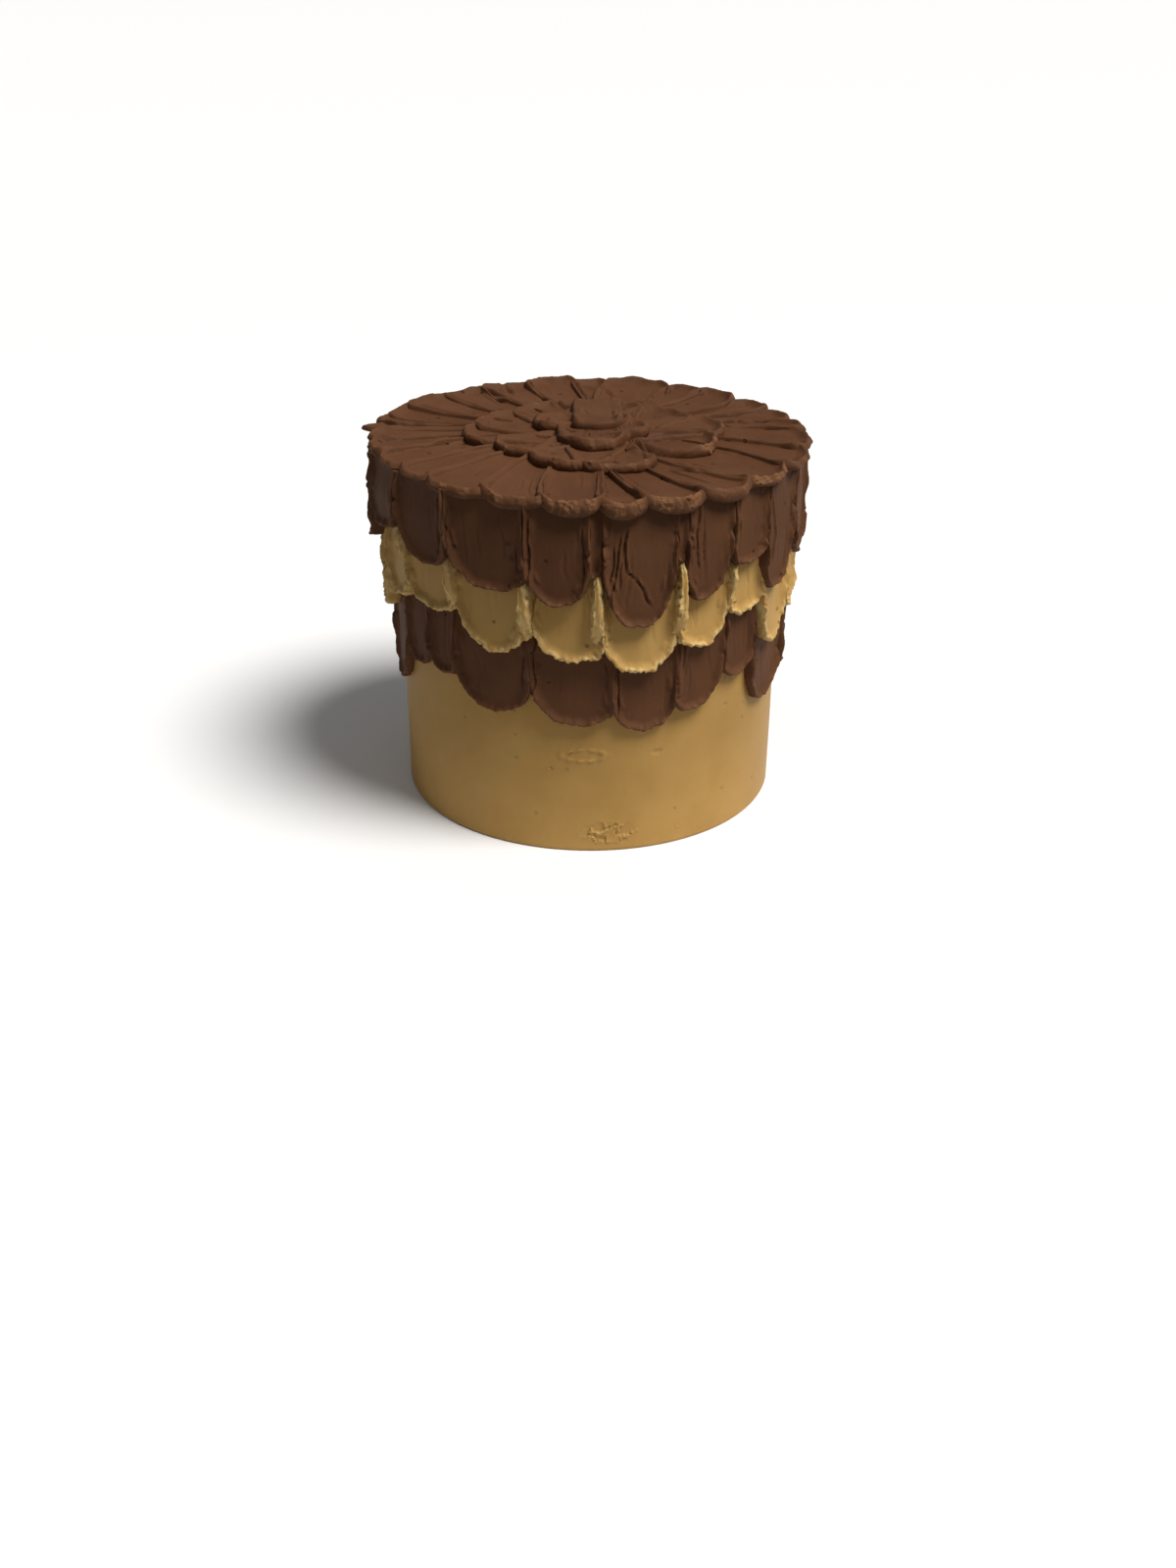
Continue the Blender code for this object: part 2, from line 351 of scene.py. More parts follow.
@dataclass(frozen=True)
class Swipe:
    """One petal, as measured.

    Args:
        left: Azimuth of its left side.
        right: Azimuth of its right side.
        cusps: Reach of its edge at its left and right side: a height on the side, a radius on top.
        tip: Reach of its tip.
        lean: How far its tip is off its middle, as a share of its half width.
        lift: How far it stands out beyond the row's face, in mm.
        tilt: How far its right side stands out beyond its left one, in mm.
        lip: Height of its lip's ridge, in mm.
        droop: How far its tip hangs down, in mm, on top.
        under: Height of its lip's underside, in mm, on top.
        drifts: How far its left and right side have moved round at the far end, in degrees.
        overlap: How far it reaches past its seams, in degrees.
        fade: Where it starts and ends to sink in, and how far, all in mm.
        ramp: Over what length it rises from its tip, and how far, in mm.
        spot: Place of its tip on the top, in mm, where it lies freely.
        heading: Azimuth that it points to there.
        size: Its half width and its length there, in mm.
        dish: How dished its face is, as a share of the row's dish.
        torn: How torn its lip is, as a share of the row's lips.
        ridged: How high its side ridges are, as a share of the row's.
        roundness: Its tip's roundness, below 2 for a pointed one; 0 for the row's.
        spread: How far in from its outline it is torn, in mm.
        grooves: Its knife lines.
    """

    left: float
    right: float
    cusps: tuple[float, float]
    tip: float
    lean: float = 0.0
    lift: float = 0.0
    tilt: float = 0.0
    lip: float = 0.8
    droop: float = 0.0
    under: float = 0.0
    drifts: tuple[float, float] = (0.0, 0.0)
    overlap: float = 1.0
    fade: tuple[float, float, float] = (0.0, 1.0, 0.0)
    ramp: tuple[float, float] = (1.0, 0.0)
    spot: tuple[float, float] | None = None
    heading: float = 0.0
    size: tuple[float, float] = (0.0, 0.0)
    dish: float = 1.0
    torn: float = 1.0
    ridged: float = 1.0
    roundness: float = 0.0
    spread: float = 1.5
    grooves: tuple[Groove, ...] = ()


@dataclass
class Blank:
    """A petal's closed mesh before the fine relief.

    Args:
        points: Its points, in metres.
        faces: Its faces.
        out: The way each point moves when the icing swells.
        swipe: Each point's place on the petal in mm, and the petal's own number.
        face: How much a point lies on the smoothed face.
        torn: How much a point lies on a torn lip or ridge.
    """

    points: np.ndarray
    faces: list[list[int]]
    out: np.ndarray
    swipe: np.ndarray
    face: np.ndarray
    torn: np.ndarray


# Rolled lip: steps in from the outline in mm, the share of the thickness reached there, and which step
# is the outermost
NOSE_STEPS = (0.9, 0.55, 0.32, 0.15, 0.05, 0.0, 0.04, 0.12, 0.24, 0.38, 0.55, 0.75, 1.0, 1.3, 1.7, 2.3,
              3.0, 3.8)
NOSE_SHARES = (0.0, 0.1, 0.22, 0.34, 0.46, 0.6, 0.72, 0.82, 0.88, 0.92, 0.952, 0.975, 0.99, 1.0, 1.0, 1.0,
               1.0, 1.0)
NOSE_TIP = 5
# Tips that hang over the rim, in mm: how far their underside's sides lie below the face, and the radii
# between which the underside and the droop set in
HEM_DEPTH = 1.6
HEM_START, HEM_END = 80.0, 84.0
DROOP_START, DROOP_END = 78.0, 87.5
# Outlines on the side and on top: longest wave in mm, octaves, and the share of the fine teeth
TEETH = {Lay.SIDE: (12.0, 4, 0.6), Lay.TOP: (15.0, 2, 0.15)}
# Rounding of a petal's long sides, in mm
SIDE_ROUND = 1.3
# How much higher the side ridges of the top's petals are at their tips
TIP_RIDGE = {Lay.SIDE: 0.0, Lay.TOP: 1.6}
# The ridge inside the outline, in mm: how far in it runs, by how much that strays, and how far it
# spreads towards the outline and away from it
CREST_INSET, CREST_STRAY = 1.25, 0.35
CREST_OUTER, CREST_INNER = 1.1, 1.25
# A fainter ridge beside it: its height as a share of the side ridges, its inset and its width in mm
SECOND_SHARE, SECOND_INSET, SECOND_WIDTH = 0.55, 3.9, 0.7
# Where the dish starts and is deepest, in mm from the outline
DISH_START, DISH_END = 0.8, 5.0
# How much a petal thickens at its tip, and over what length, in mm
TIP_SWELL, TIP_LENGTH = 0.35, 11.0
# Length over which a tip that stands out falls back to the row's face, on top, in mm
CURL_LENGTH = 16.0
# Points on each long side of a petal, from which distances are measured
SIDE_STEPS = 39
# Height of the bank beside a knife line that runs over several petals, as a share of its depth
LINE_BANK = 0.4


@dataclass
class PetalRow:
    """A row of petals, all round the cake.

    Args:
        name: The piece's name.
        node: The node that it replaces.
        slot: The record's material slot.
        lay: Whether it lies on the side or on the top.
        petals: Its petals.
        back: Where the petals' hidden backs are: a radius on the side, a height on top.
        thick: How far the faces stand out from there.
        far: Reach of the petals' hidden far ends.
        seed: Seed of its random draws.
        columns: Most points across a petal.
        grain: Distance between points across, in mm.
        pitch: Distance between points along a petal, in mm.
        ridge: Height of the ridges at the petals' sides, in mm.
        dish: Depth of the faces, in mm.
        ragged: How ragged the outlines are, in mm.
        roundness: 2 for an elliptic tip, more for a squarer one.
        left_bulge: How much further the row stands out at the left than in the middle, in mm.
        taper: How much thinner the petals are at their far ends, in mm.
        swell: How broad and soft the lips are; 1 for those of the side.
        bank: How much broader the ridges at the petals' sides are than the lips, in mm.
        swing: How uneven the lips and ridges are in height.
        tear: How torn the lips and ridges are, and the ridges as a share of the lips.
        sunk: How much of the ridges' height is gone at the hidden far ends.
        lines: Knife lines that run over several petals, with paths (east, north) in mm.
    """

    name: str
    node: str
    slot: Slot
    lay: Lay
    petals: list[Swipe]
    back: float
    thick: float
    far: float
    seed: int
    columns: int = 77
    grain: float = 0.36
    pitch: float = 0.8
    ridge: float = 1.1
    dish: float = 0.6
    ragged: float = 0.35
    roundness: float = 2.4
    left_bulge: float = 0.0
    taper: float = 0.9
    swell: float = 1.0
    bank: float = 0.7
    swing: float = 0.5
    tear: tuple[float, float] = (0.8, 0.5)
    sunk: float = 0.0
    lines: tuple[Groove, ...] = ()

    def _place(self, swipe: Swipe, azimuth: np.ndarray, reach: np.ndarray, height: np.ndarray) -> np.ndarray:
        """Puts points of a petal on the cake.

        Args:
            swipe: The petal.
            azimuth: Azimuths, in degrees.
            reach: Heights on the side, radii on top, in mm.
            height: Distances out from the petals' backs, in mm.

        Returns:
            The points in metres.
        """
        angle = np.radians(azimuth)
        around = np.stack([np.sin(angle), -np.cos(angle), np.zeros_like(angle)], -1)
        up = np.array([0.0, 0.0, 1.0])
        if self.lay is Lay.SIDE:
            share = np.clip(height / self.thick, 0, 1)
            radius = self.back + height - self.left_bulge * np.sin(angle) * share
            return (around * radius[..., None] + up * reach[..., None]) * MM
        face = self.back + self.thick
        low, droop = self.back, 0.0
        if swipe.under:
            side = np.abs(2 * (azimuth - swipe.left) / (swipe.right - swipe.left) - 1)
            belly = np.clip(1 - side ** 2.2, 0, 1)
            hem = face - HEM_DEPTH
            low = low + (hem + (swipe.under - hem) * belly - low) * ease(reach, HEM_START, HEM_END)
            droop = swipe.droop * belly * ease(reach, DROOP_START, DROOP_END)
        level = low + np.minimum(height, self.thick) * (face - low) / self.thick
        level = level + np.maximum(height - self.thick, 0) - droop
        return (around * reach[..., None] + up * level[..., None]) * MM

    def _outline(self, swipe: Swipe, draw: np.random.Generator) -> tuple[np.ndarray, np.ndarray]:
        """Works out a petal's outline.

        Args:
            swipe: The petal.
            draw: The random generator.

        Returns:
            For each column its place across and its outline's distance from the tip.
        """
        columns = max(15, min(self.columns, 2 * int(self._half_width(swipe) / self.grain) + 1))
        even = np.linspace(-1, 1, columns)
        across = 0.4 * even + 0.6 * np.sin(even * math.pi / 2)
        rise = self._rise(np.abs(across), swipe)
        width = self._half_width(swipe)
        hidden = 0.0 if swipe.spot else 2 * swipe.overlap / (swipe.right - swipe.left)
        shown = self._rise(np.array(1 - hidden), swipe)
        sides = [abs(cusp - swipe.tip) / shown for cusp in swipe.cusps]
        deep = np.where(across < 0, sides[0], sides[1])
        run = np.concatenate([[0], np.cumsum(np.hypot(np.diff(across) * width, np.diff(rise * deep)))])
        period, octaves, share = TEETH[self.lay]
        teeth = Wobble(draw, period, octaves)(run) * self.ragged
        fine = np.maximum(Wobble(draw, 3.4, 2)(run), 0) * self.ragged * share
        quiet = ease(np.abs(across), 1.0, 0.9)
        return across, rise * deep + (teeth + fine) * quiet

    def _rise(self, across: np.ndarray, swipe: Swipe) -> np.ndarray:
        """How far a petal's rounded tip has risen, as a share of its depth, at places across."""
        power = swipe.roundness or self.roundness
        return 1 - np.maximum(1 - across ** power, 0) ** (1 / power)

    def _half_width(self, swipe: Swipe) -> float:
        """Half a petal's width at its tip, in mm."""
        if swipe.spot:
            return swipe.size[0]
        radius = self.back + self.thick if self.lay is Lay.SIDE else swipe.tip
        return math.radians(swipe.right - swipe.left) / 2 * radius

    def _blank(self, swipe: Swipe, number: int, draw: np.random.Generator) -> Blank:
        """Models one petal.

        Args:
            swipe: The petal.
            number: Its number in the row.
            draw: The random generator.

        Returns:
            Its closed mesh.
        """
        length = swipe.size[1] if swipe.spot else abs(self.far - swipe.tip)
        width = self._half_width(swipe)
        across, edge = self._outline(swipe, draw)
        rest = edge.max() + NOSE_STEPS[-1] * self.swell
        count = max(6, int((length - NOSE_STEPS[-1] * self.swell) / self.pitch))
        grown = np.linspace(0, 1, count + 1)[1:] ** 1.2
        steps = np.array(NOSE_STEPS)[None, :] * self.swell + edge[:, None]
        start = steps[:, -1:]
        along = np.concatenate([steps, start + (length - start) * grown[None, :]], 1)
        share = np.concatenate([NOSE_SHARES, np.ones(count)])[None, :] * np.ones_like(along)
        shift = swipe.lean * width * np.maximum(0, 1 - along / max(rest, 1)) ** 1.5
        x = across[:, None] * width + shift
        height, near, tipness = self._relief(swipe, draw, x, along, width, length)
        side = np.clip((1 - np.abs(across)) * width / SIDE_ROUND, 0, 1)
        round_side = np.maximum(np.sqrt(1 - (1 - side) ** 2), 0.1)[:, None]
        azimuth, reach = self._where(swipe, x, along, width, length)
        height = height + self._line_relief(np.radians(azimuth), reach)
        height = height * np.minimum(share, round_side)
        points = self._place(swipe, azimuth, reach, height)
        behind = self._place(swipe, azimuth[:, -1], reach[:, -1], np.zeros(len(across)))
        out = np.cross(np.gradient(points, axis=0), np.gradient(points, axis=1))
        out = out / np.maximum(np.linalg.norm(out, axis=-1, keepdims=True), 1e-12)
        patchy = 0.75 + 0.5 * Wobble(draw, 9.0, 3)(x + 0.6 * along + Wobble(draw, 13.0, 2)(along))
        torn = np.exp(-((near - 0.8) / (swipe.spread * self.swell)) ** 2) * ease(share, 0.0, 0.3)
        torn = torn * np.clip(patchy, 0, 1.3)
        torn = torn * self.tear[0] * swipe.torn * (self.tear[1] + (1 - self.tear[1]) * tipness)
        smooth = ease(near, 1.0, 3.0)
        place = np.stack([x, along, np.full_like(x, number * 37.7)], -1)
        return self._close(points, behind, out, place, smooth, torn)

    def _line_relief(self, angle: np.ndarray, reach: np.ndarray) -> np.ndarray:
        """Height of the knife lines that run over several petals.

        Args:
            angle: Azimuths, in radians.
            reach: Radii, in mm.

        Returns:
            The heights to add, in mm.
        """
        place = np.stack([np.sin(angle) * reach, -np.cos(angle) * reach], -1)
        low, high = place.min((0, 1)) - 3, place.max((0, 1)) + 3
        total = np.zeros_like(reach)
        for line in self.lines:
            knots = np.linspace(0, 1, len(line.path))
            travel = np.linspace(0, 1, 90)
            curve = np.stack([np.polyval(np.polyfit(knots, side, len(knots) - 1), travel)
                              for side in np.array(line.path).T], -1)
            if (curve > low).all(-1).any() and (curve < high).all(-1).any():
                gap = np.linalg.norm(place[:, :, None] - curve, axis=-1)
                force = np.sin(math.pi * np.clip(travel, 0.03, 0.97)[gap.argmin(-1)]) ** 0.6
                away = gap.min(-1) / line.width
                bank = LINE_BANK * np.exp(-((away - 2.1) / 0.9) ** 2)
                total = total + line.depth * force * (bank - np.exp(-away ** 2))
        return total

    def _where(self, swipe: Swipe, x: np.ndarray, along: np.ndarray, width: float,
               length: float) -> tuple[np.ndarray, np.ndarray]:
        """Finds a petal's points on the cake.

        Args:
            swipe: The petal.
            x: Places across, in mm from the middle.
            along: Distances from the tip, in mm.
            width: The petal's half width, in mm.
            length: Its length, in mm.

        Returns:
            Their azimuths and reaches.
        """
        if swipe.spot:
            turn = math.radians(swipe.heading)
            east = swipe.spot[0] - math.sin(turn) * along + math.cos(turn) * x
            north = swipe.spot[1] + math.cos(turn) * along + math.sin(turn) * x
            return np.degrees(np.arctan2(east, -north)), np.hypot(east, north)
        azimuth = (swipe.left + swipe.right) / 2 + x / width * (swipe.right - swipe.left) / 2
        drift = swipe.drifts[0] + (swipe.drifts[1] - swipe.drifts[0]) * (x / width + 1) / 2
        azimuth = azimuth + drift * np.clip(along / length, 0, 1)
        return azimuth, swipe.tip + along if self.lay is Lay.SIDE else swipe.tip - along

    def _relief(self, swipe: Swipe, draw: np.random.Generator, x: np.ndarray, along: np.ndarray,
                width: float, length: float) -> tuple[np.ndarray, np.ndarray, np.ndarray]:
        """Works out how far a petal stands out, with its ridges, lip, dish and knife lines.

        Args:
            swipe: The petal.
            draw: The random generator.
            x: Places across, in mm from the middle.
            along: Distances from the tip, in mm.
            width: The petal's half width, in mm.
            length: Its length, in mm.

        Returns:
            The heights, the distances to the outline, and how near its tip that nearest point is.
        """
        rim_x, rim_y = x[:, NOSE_TIP], along[:, NOSE_TIP]
        climb = np.linspace(0, 1, SIDE_STEPS + 1)[1:]
        side_y = [rim_y[end] + (length - rim_y[end]) * climb for end in (0, -1)]
        rim_x = np.concatenate([np.full(SIDE_STEPS, -width), rim_x, np.full(SIDE_STEPS, width)])
        rim_y = np.concatenate([side_y[0][::-1], rim_y, side_y[1]])
        gap = np.hypot(x[..., None] - rim_x, along[..., None] - rim_y)
        slot = gap.argmin(-1)
        near = gap.min(-1)
        travel = np.concatenate([[0], np.cumsum(np.hypot(np.diff(rim_x), np.diff(rim_y)))])
        tipness = ease(np.abs(rim_x) / width, 0.95, 0.55)
        lively, calm = Wobble(draw, 16.0, 4)(travel), 0.75 * Wobble(draw, 24.0, 2)(travel)
        swing = 1 + self.swing * (lively * tipness + calm * (1 - tipness) if self.lay is Lay.SIDE else calm)
        ridge = self.ridge * swipe.ridged * (1 + TIP_RIDGE[self.lay] * np.exp(-(rim_y / 8) ** 2))
        crest = (ridge * (1 - tipness) + swipe.lip * tipness) * np.clip(swing, 0.25, 1.8)
        centre = (CREST_INSET + CREST_STRAY * Wobble(draw, 21.0, 2)(travel)) * self.swell
        second = SECOND_SHARE * np.clip(Wobble(draw, 24.0, 3)(travel), 0, 1)
        second = second * self.ridge * swipe.ridged * (1 - tipness)
        away = near - centre[slot]
        inner = CREST_INNER + self.bank * (1 - tipness[slot])
        spread = np.where(away < 0, CREST_OUTER, inner) * self.swell
        curl = np.exp(-(along / CURL_LENGTH) ** 2) if swipe.under else 1.0
        height = self.thick + swipe.lift * curl + swipe.tilt * x / width
        crest = crest[slot] * (1 - self.sunk * ease(along / length, 0.55, 0.8))
        height = height + crest * np.exp(-(away / spread) ** 2)
        height = height + second[slot] * np.exp(-((near - SECOND_INSET) / SECOND_WIDTH) ** 2)
        dish = self.dish * swipe.dish * np.clip(1 - np.abs(x / width) ** 3, 0, 1)
        height = height - dish * ease(near, DISH_START * self.swell, DISH_END * self.swell)
        height = height - self.taper * ease(along / length, 0.5, 1.0)
        height = height - swipe.fade[2] * ease(along, swipe.fade[0], swipe.fade[1])
        height = height - swipe.ramp[1] * ease(along, swipe.ramp[0], 0.0)
        height = height + TIP_SWELL * np.exp(-(along / TIP_LENGTH) ** 2)
        place = x / width
        for groove in swipe.grooves + self._chance_grooves(draw):
            height = height + self._groove(groove, place, along / length, width, draw)
        return height, near, tipness[slot]

    def _chance_grooves(self, draw: np.random.Generator) -> tuple[Groove, ...]:
        """Draws a petal's knife lines: faint ones on its face, deeper ones beside its ridges.

        Args:
            draw: The random generator.

        Returns:
            The lines.
        """
        made = []
        for _ in range(int(draw.integers(2, 5)) if self.lay is Lay.SIDE else 2):
            start, low = draw.uniform(-0.75, 0.75), draw.uniform(0.1, 0.45)
            path = ((start, low), (start + draw.uniform(-0.12, 0.12), low + draw.uniform(0.25, 0.6)))
            made.append(Groove(path, draw.uniform(0.12, 0.34), draw.uniform(0.4, 0.7)))
        for side in (-1, 1) if self.lay is Lay.SIDE else ():
            place, low = side * draw.uniform(0.74, 0.9), draw.uniform(0.12, 0.35)
            path = ((place, low), (place + side * draw.uniform(-0.07, 0.05), low + draw.uniform(0.3, 0.6)))
            made.append(Groove(path, draw.uniform(0.3, 1.0), draw.uniform(0.3, 0.5)))
        return tuple(made)

    @staticmethod
    def _groove(groove: Groove, place: np.ndarray, share: np.ndarray, width: float,
                draw: np.random.Generator) -> np.ndarray:
        """Height of one knife line: a narrow valley with a raised bank beside it.

        Args:
            groove: The line.
            place: Places across, -1 to 1.
            share: Places along, 0 to 1.
            width: The petal's half width, in mm.
            draw: The random generator.

        Returns:
            The heights to add, in mm.
        """
        across, along = np.array(sorted(groove.path, key=lambda point: point[1])).T
        path = np.interp(share, along, across) + 0.03 * Wobble(draw, 0.6, 3)(share)
        away = (place - path) * width / groove.width
        within = ease(share, along[0] - 0.02, along[0] + 0.05)
        within = within * ease(share, along[-1] + 0.02, along[-1] - 0.06)
        return groove.depth * within * (0.5 * np.exp(-(away - 1.7) ** 2) - np.exp(-away ** 2))

    @staticmethod
    def _close(points: np.ndarray, behind: np.ndarray, out: np.ndarray, place: np.ndarray,
               smooth: np.ndarray, torn: np.ndarray) -> Blank:
        """Closes a petal's front with its hidden far end, back and sides.

        Args:
            points: The front's points, by column and row.
            behind: The back's points at the far end.
            out: The way out at the front's points.
            place: The front's places on the petal.
            smooth: How much the front is smoothed.
            torn: How much the front is torn.

        Returns:
            The closed mesh.
        """
        columns, rows = points.shape[:2]
        number = np.arange(columns * rows).reshape(columns, rows)
        last = columns * rows + np.arange(columns)
        a, b, c, d = number[:-1, :-1], number[1:, :-1], number[1:, 1:], number[:-1, 1:]
        faces = np.stack([a, b, c, d], -1).reshape(-1, 4).tolist()
        faces += np.stack([number[:-1, -1], number[1:, -1], last[1:], last[:-1]], -1).tolist()
        faces += np.stack([last[:-1], last[1:], number[1:, 0], number[:-1, 0]], -1).tolist()
        faces.append([*number[0].tolist(), int(last[0])])
        faces.append([int(last[-1]), *number[-1, ::-1].tolist()])
        still = np.zeros((columns, 3))
        return Blank(
            points=np.concatenate([points.reshape(-1, 3), behind]), faces=faces,
            out=np.concatenate([out.reshape(-1, 3), still]),
            swipe=np.concatenate([place.reshape(-1, 3), place[:, -1]]),
            face=np.concatenate([smooth.ravel(), np.zeros(columns)]),
            torn=np.concatenate([torn.ravel(), np.zeros(columns)]))

    def build(self, relief: "Modifier", material: bpy.types.Material) -> bpy.types.Object:
        """Models the whole row and dresses it.

        Args:
            relief: The fine relief.
            material: The icing.

        Returns:
            The row's piece.
        """
        draw = np.random.default_rng(self.seed)
        blanks = [self._blank(swipe, number, draw) for number, swipe in enumerate(self.petals)]
        shells = [make_object(f"{self.name}_{number:02d}", blank) for number, blank in enumerate(blanks)]
        for shell in shells:
            relief.apply(shell, {"Material": material, "Seed": float(self.seed)})
        return fuse(self.name, shells)


def make_object(name: str, blank: Blank) -> bpy.types.Object:
    """Makes an object of a blank, with its attributes.

    Args:
        name: The object's name.
        blank: The blank.

    Returns:
        The object.
    """
    mesh = bpy.data.meshes.new(name)
    mesh.from_pydata(blank.points.tolist(), [], blank.faces)
    for key, values in (("out", blank.out), ("swipe", blank.swipe)):
        held = mesh.attributes.new(key, "FLOAT_VECTOR", "POINT")
        held.data.foreach_set("vector", values.astype(np.float32).ravel())
    for key, values in (("face", blank.face), ("torn", blank.torn)):
        held = mesh.attributes.new(key, "FLOAT", "POINT")
        held.data.foreach_set("value", values.astype(np.float32).ravel())
    mesh.update()
    made = bpy.data.objects.new(name, mesh)
    bpy.context.scene.collection.objects.link(made)
    return made


def fuse(name: str, shells: list[bpy.types.Object]) -> bpy.types.Object:
    """Joins petals into one piece by a Boolean union.

    Args:
        name: The piece's name.
        shells: The petals' objects, which are used up.

    Returns:
        The piece.
    """
    first, rest = shells[0], shells[1:]
    group = bpy.data.collections.new(name + "_rest")
    bpy.context.scene.collection.children.link(group)
    for shell in rest:
        group.objects.link(shell)
    union = first.modifiers.new("union", "BOOLEAN")
    union.operation = "UNION"
    union.operand_type = "COLLECTION"
    union.collection = group
    union.solver = "MANIFOLD"
    made = bake_modifiers(first)
    for shell in rest:
        bpy.data.objects.remove(shell)
    bpy.data.collections.remove(group)
    made.name = name
    made.data.name = name
    made.data.shade_smooth()
    made.data.set_sharp_from_angle(angle=math.radians(70))
    return made


def bake_modifiers(made: bpy.types.Object) -> bpy.types.Object:
    """Turns an object's evaluated shape into its plain mesh.

    Args:
        made: The object.

    Returns:
        The same object, without modifiers.
    """
    graph = bpy.context.evaluated_depsgraph_get()
    mesh = bpy.data.meshes.new_from_object(made.evaluated_get(graph), depsgraph=graph)
    made.modifiers.clear()
    made.data = mesh
    return made


class Modifier:
    """A Geometry Nodes tree with named inputs, applied to one object at a time."""

    def __init__(self, name: str, inputs: dict) -> None:
        """Starts the tree.

        Args:
            name: The tree's name.
            inputs: The kind of socket and the value of each input, by name.
        """
        self.group = bpy.data.node_groups.new(name, "GeometryNodeTree")
        face = self.group.interface
        face.new_socket("Geometry", in_out="OUTPUT", socket_type="NodeSocketGeometry")
        face.new_socket("Geometry", in_out="INPUT", socket_type="NodeSocketGeometry")
        self.keys = {}
        for label, (kind, value) in inputs.items():
            socket = face.new_socket(label, in_out="INPUT", socket_type=kind)
            self.keys[label] = socket.identifier
            if value is not None:
                socket.default_value = value
        self.tree = Tree(self.group)
        self.entry = self.group.nodes.new("NodeGroupInput")

    def input(self, label: str) -> Value:
        """The value of a named input."""
        return Value(self.tree, self.entry.outputs[label])

    def attribute(self, name: str, kind: str = "FLOAT") -> Value:
        """A named attribute of the geometry."""
        return self.tree.add("GeometryNodeInputNamedAttribute", {"data_type": kind}, {"Name": name})

    def pushed(self, height: Value) -> Value:
        """The input geometry with its points moved along the attribute `out`, by a height in mm."""
        way = {0: self.attribute("out", "FLOAT_VECTOR"), "Scale": height * MM}
        offset = self.tree.add("ShaderNodeVectorMath", {"operation": "SCALE"}, way)
        sockets = {"Geometry": self.input("Geometry"), "Offset": offset}
        return self.tree.add("GeometryNodeSetPosition", None, sockets)

    def stored(self, geometry: Value, name: str, value: Value) -> Value:
        """A geometry with a number kept at each point as a named attribute."""
        settings = {"data_type": "FLOAT", "domain": "POINT"}
        sockets = {"Geometry": geometry, "Name": name, "Value": value}
        return self.tree.add("GeometryNodeStoreNamedAttribute", settings, sockets)

    def finish(self, geometry: Value) -> None:
        """Ends the tree in Realize Instances and Set Material.

        Args:
            geometry: The geometry to end with.
        """
        real = self.tree.add("GeometryNodeRealizeInstances", None, {"Geometry": geometry})
        dressed = self.tree.add("GeometryNodeSetMaterial", None,
                                {"Geometry": real, "Material": self.input("Material")})
        self.tree.add("NodeGroupOutput", None, {"Geometry": dressed})

    def apply(self, made: bpy.types.Object, values: dict) -> bpy.types.Object:
        """Runs the tree on an object and keeps the result as its plain mesh.

        Args:
            made: The object.
            values: Inputs to set, by name.

        Returns:
            The same object.
        """
        modifier = made.modifiers.new(self.group.name, "NODES")
        modifier.node_group = self.group
        for label, value in values.items():
            modifier[self.keys[label]] = value
        return bake_modifiers(made)


def sculpt_tree() -> Modifier:
    """Builds the fine relief of swiped icing: streaks along the swipe, torn lips and small pits.

    Returns:
        The tree, whose sizes are in mm.
    """
    number, material = "NodeSocketFloat", "NodeSocketMaterial"
    made = Modifier("swiped_relief", {
        "Streak depth": (number, 0.07), "Ripple depth": (number, 0.7), "Torn depth": (number, 0.8),
        "Pit depth": (number, 0.5), "Seed": (number, 0.0), "Material": (material, None)})
    tree = made.tree
    seed = made.input("Seed")
    swipe = made.attribute("swipe", "FLOAT_VECTOR")
    face, torn = made.attribute("face"), made.attribute("torn")
    broad = tree.noise(swipe.scaled((0.35, 0.035, 1)), 1.0, detail=3, seed=seed, roughness=0.6)
    narrow = tree.noise(swipe.scaled((1.3, 0.07, 1)), 1.0, detail=2, seed=seed + 5)
    where = tree.add("GeometryNodeInputPosition")
    ripple = tree.noise(swipe.scaled((0.13, 0.045, 1)), 1.0, detail=2, seed=seed + 9)
    rough = tree.noise(where, 330.0, detail=4, seed=seed + 13, roughness=0.6)
    streaks = ((broad - 0.5) * 1.6 + (narrow - 0.5) * 0.7) * made.input("Streak depth") * face
    ripples = (ripple - 0.5) * made.input("Ripple depth")
    crumbs = tree.cells(where, 620.0)
    tears = ((rough - 0.47) * 1.5 + (0.42 - crumbs) * 1.3) * made.input("Torn depth") * torn
    spots = swipe.scaled((0.17, 0.12, 1))
    pick = tree.add("FunctionNodeSeparateColor", None, {0: tree.cells(spots, 1.0, "Color")})
    pits = tree.cells(spots, 1.0).step(0.11, 0.05) * pick.step(0.80, 0.84) * made.input("Pit depth") * face
    moved = made.pushed(streaks + ripples + tears - pits)
    # The heights kept as relief are where the material paints shade into the low places.
    made.finish(made.stored(moved, "relief", streaks + tears * 0.6 - pits * 0.9))
    return made


# The petals


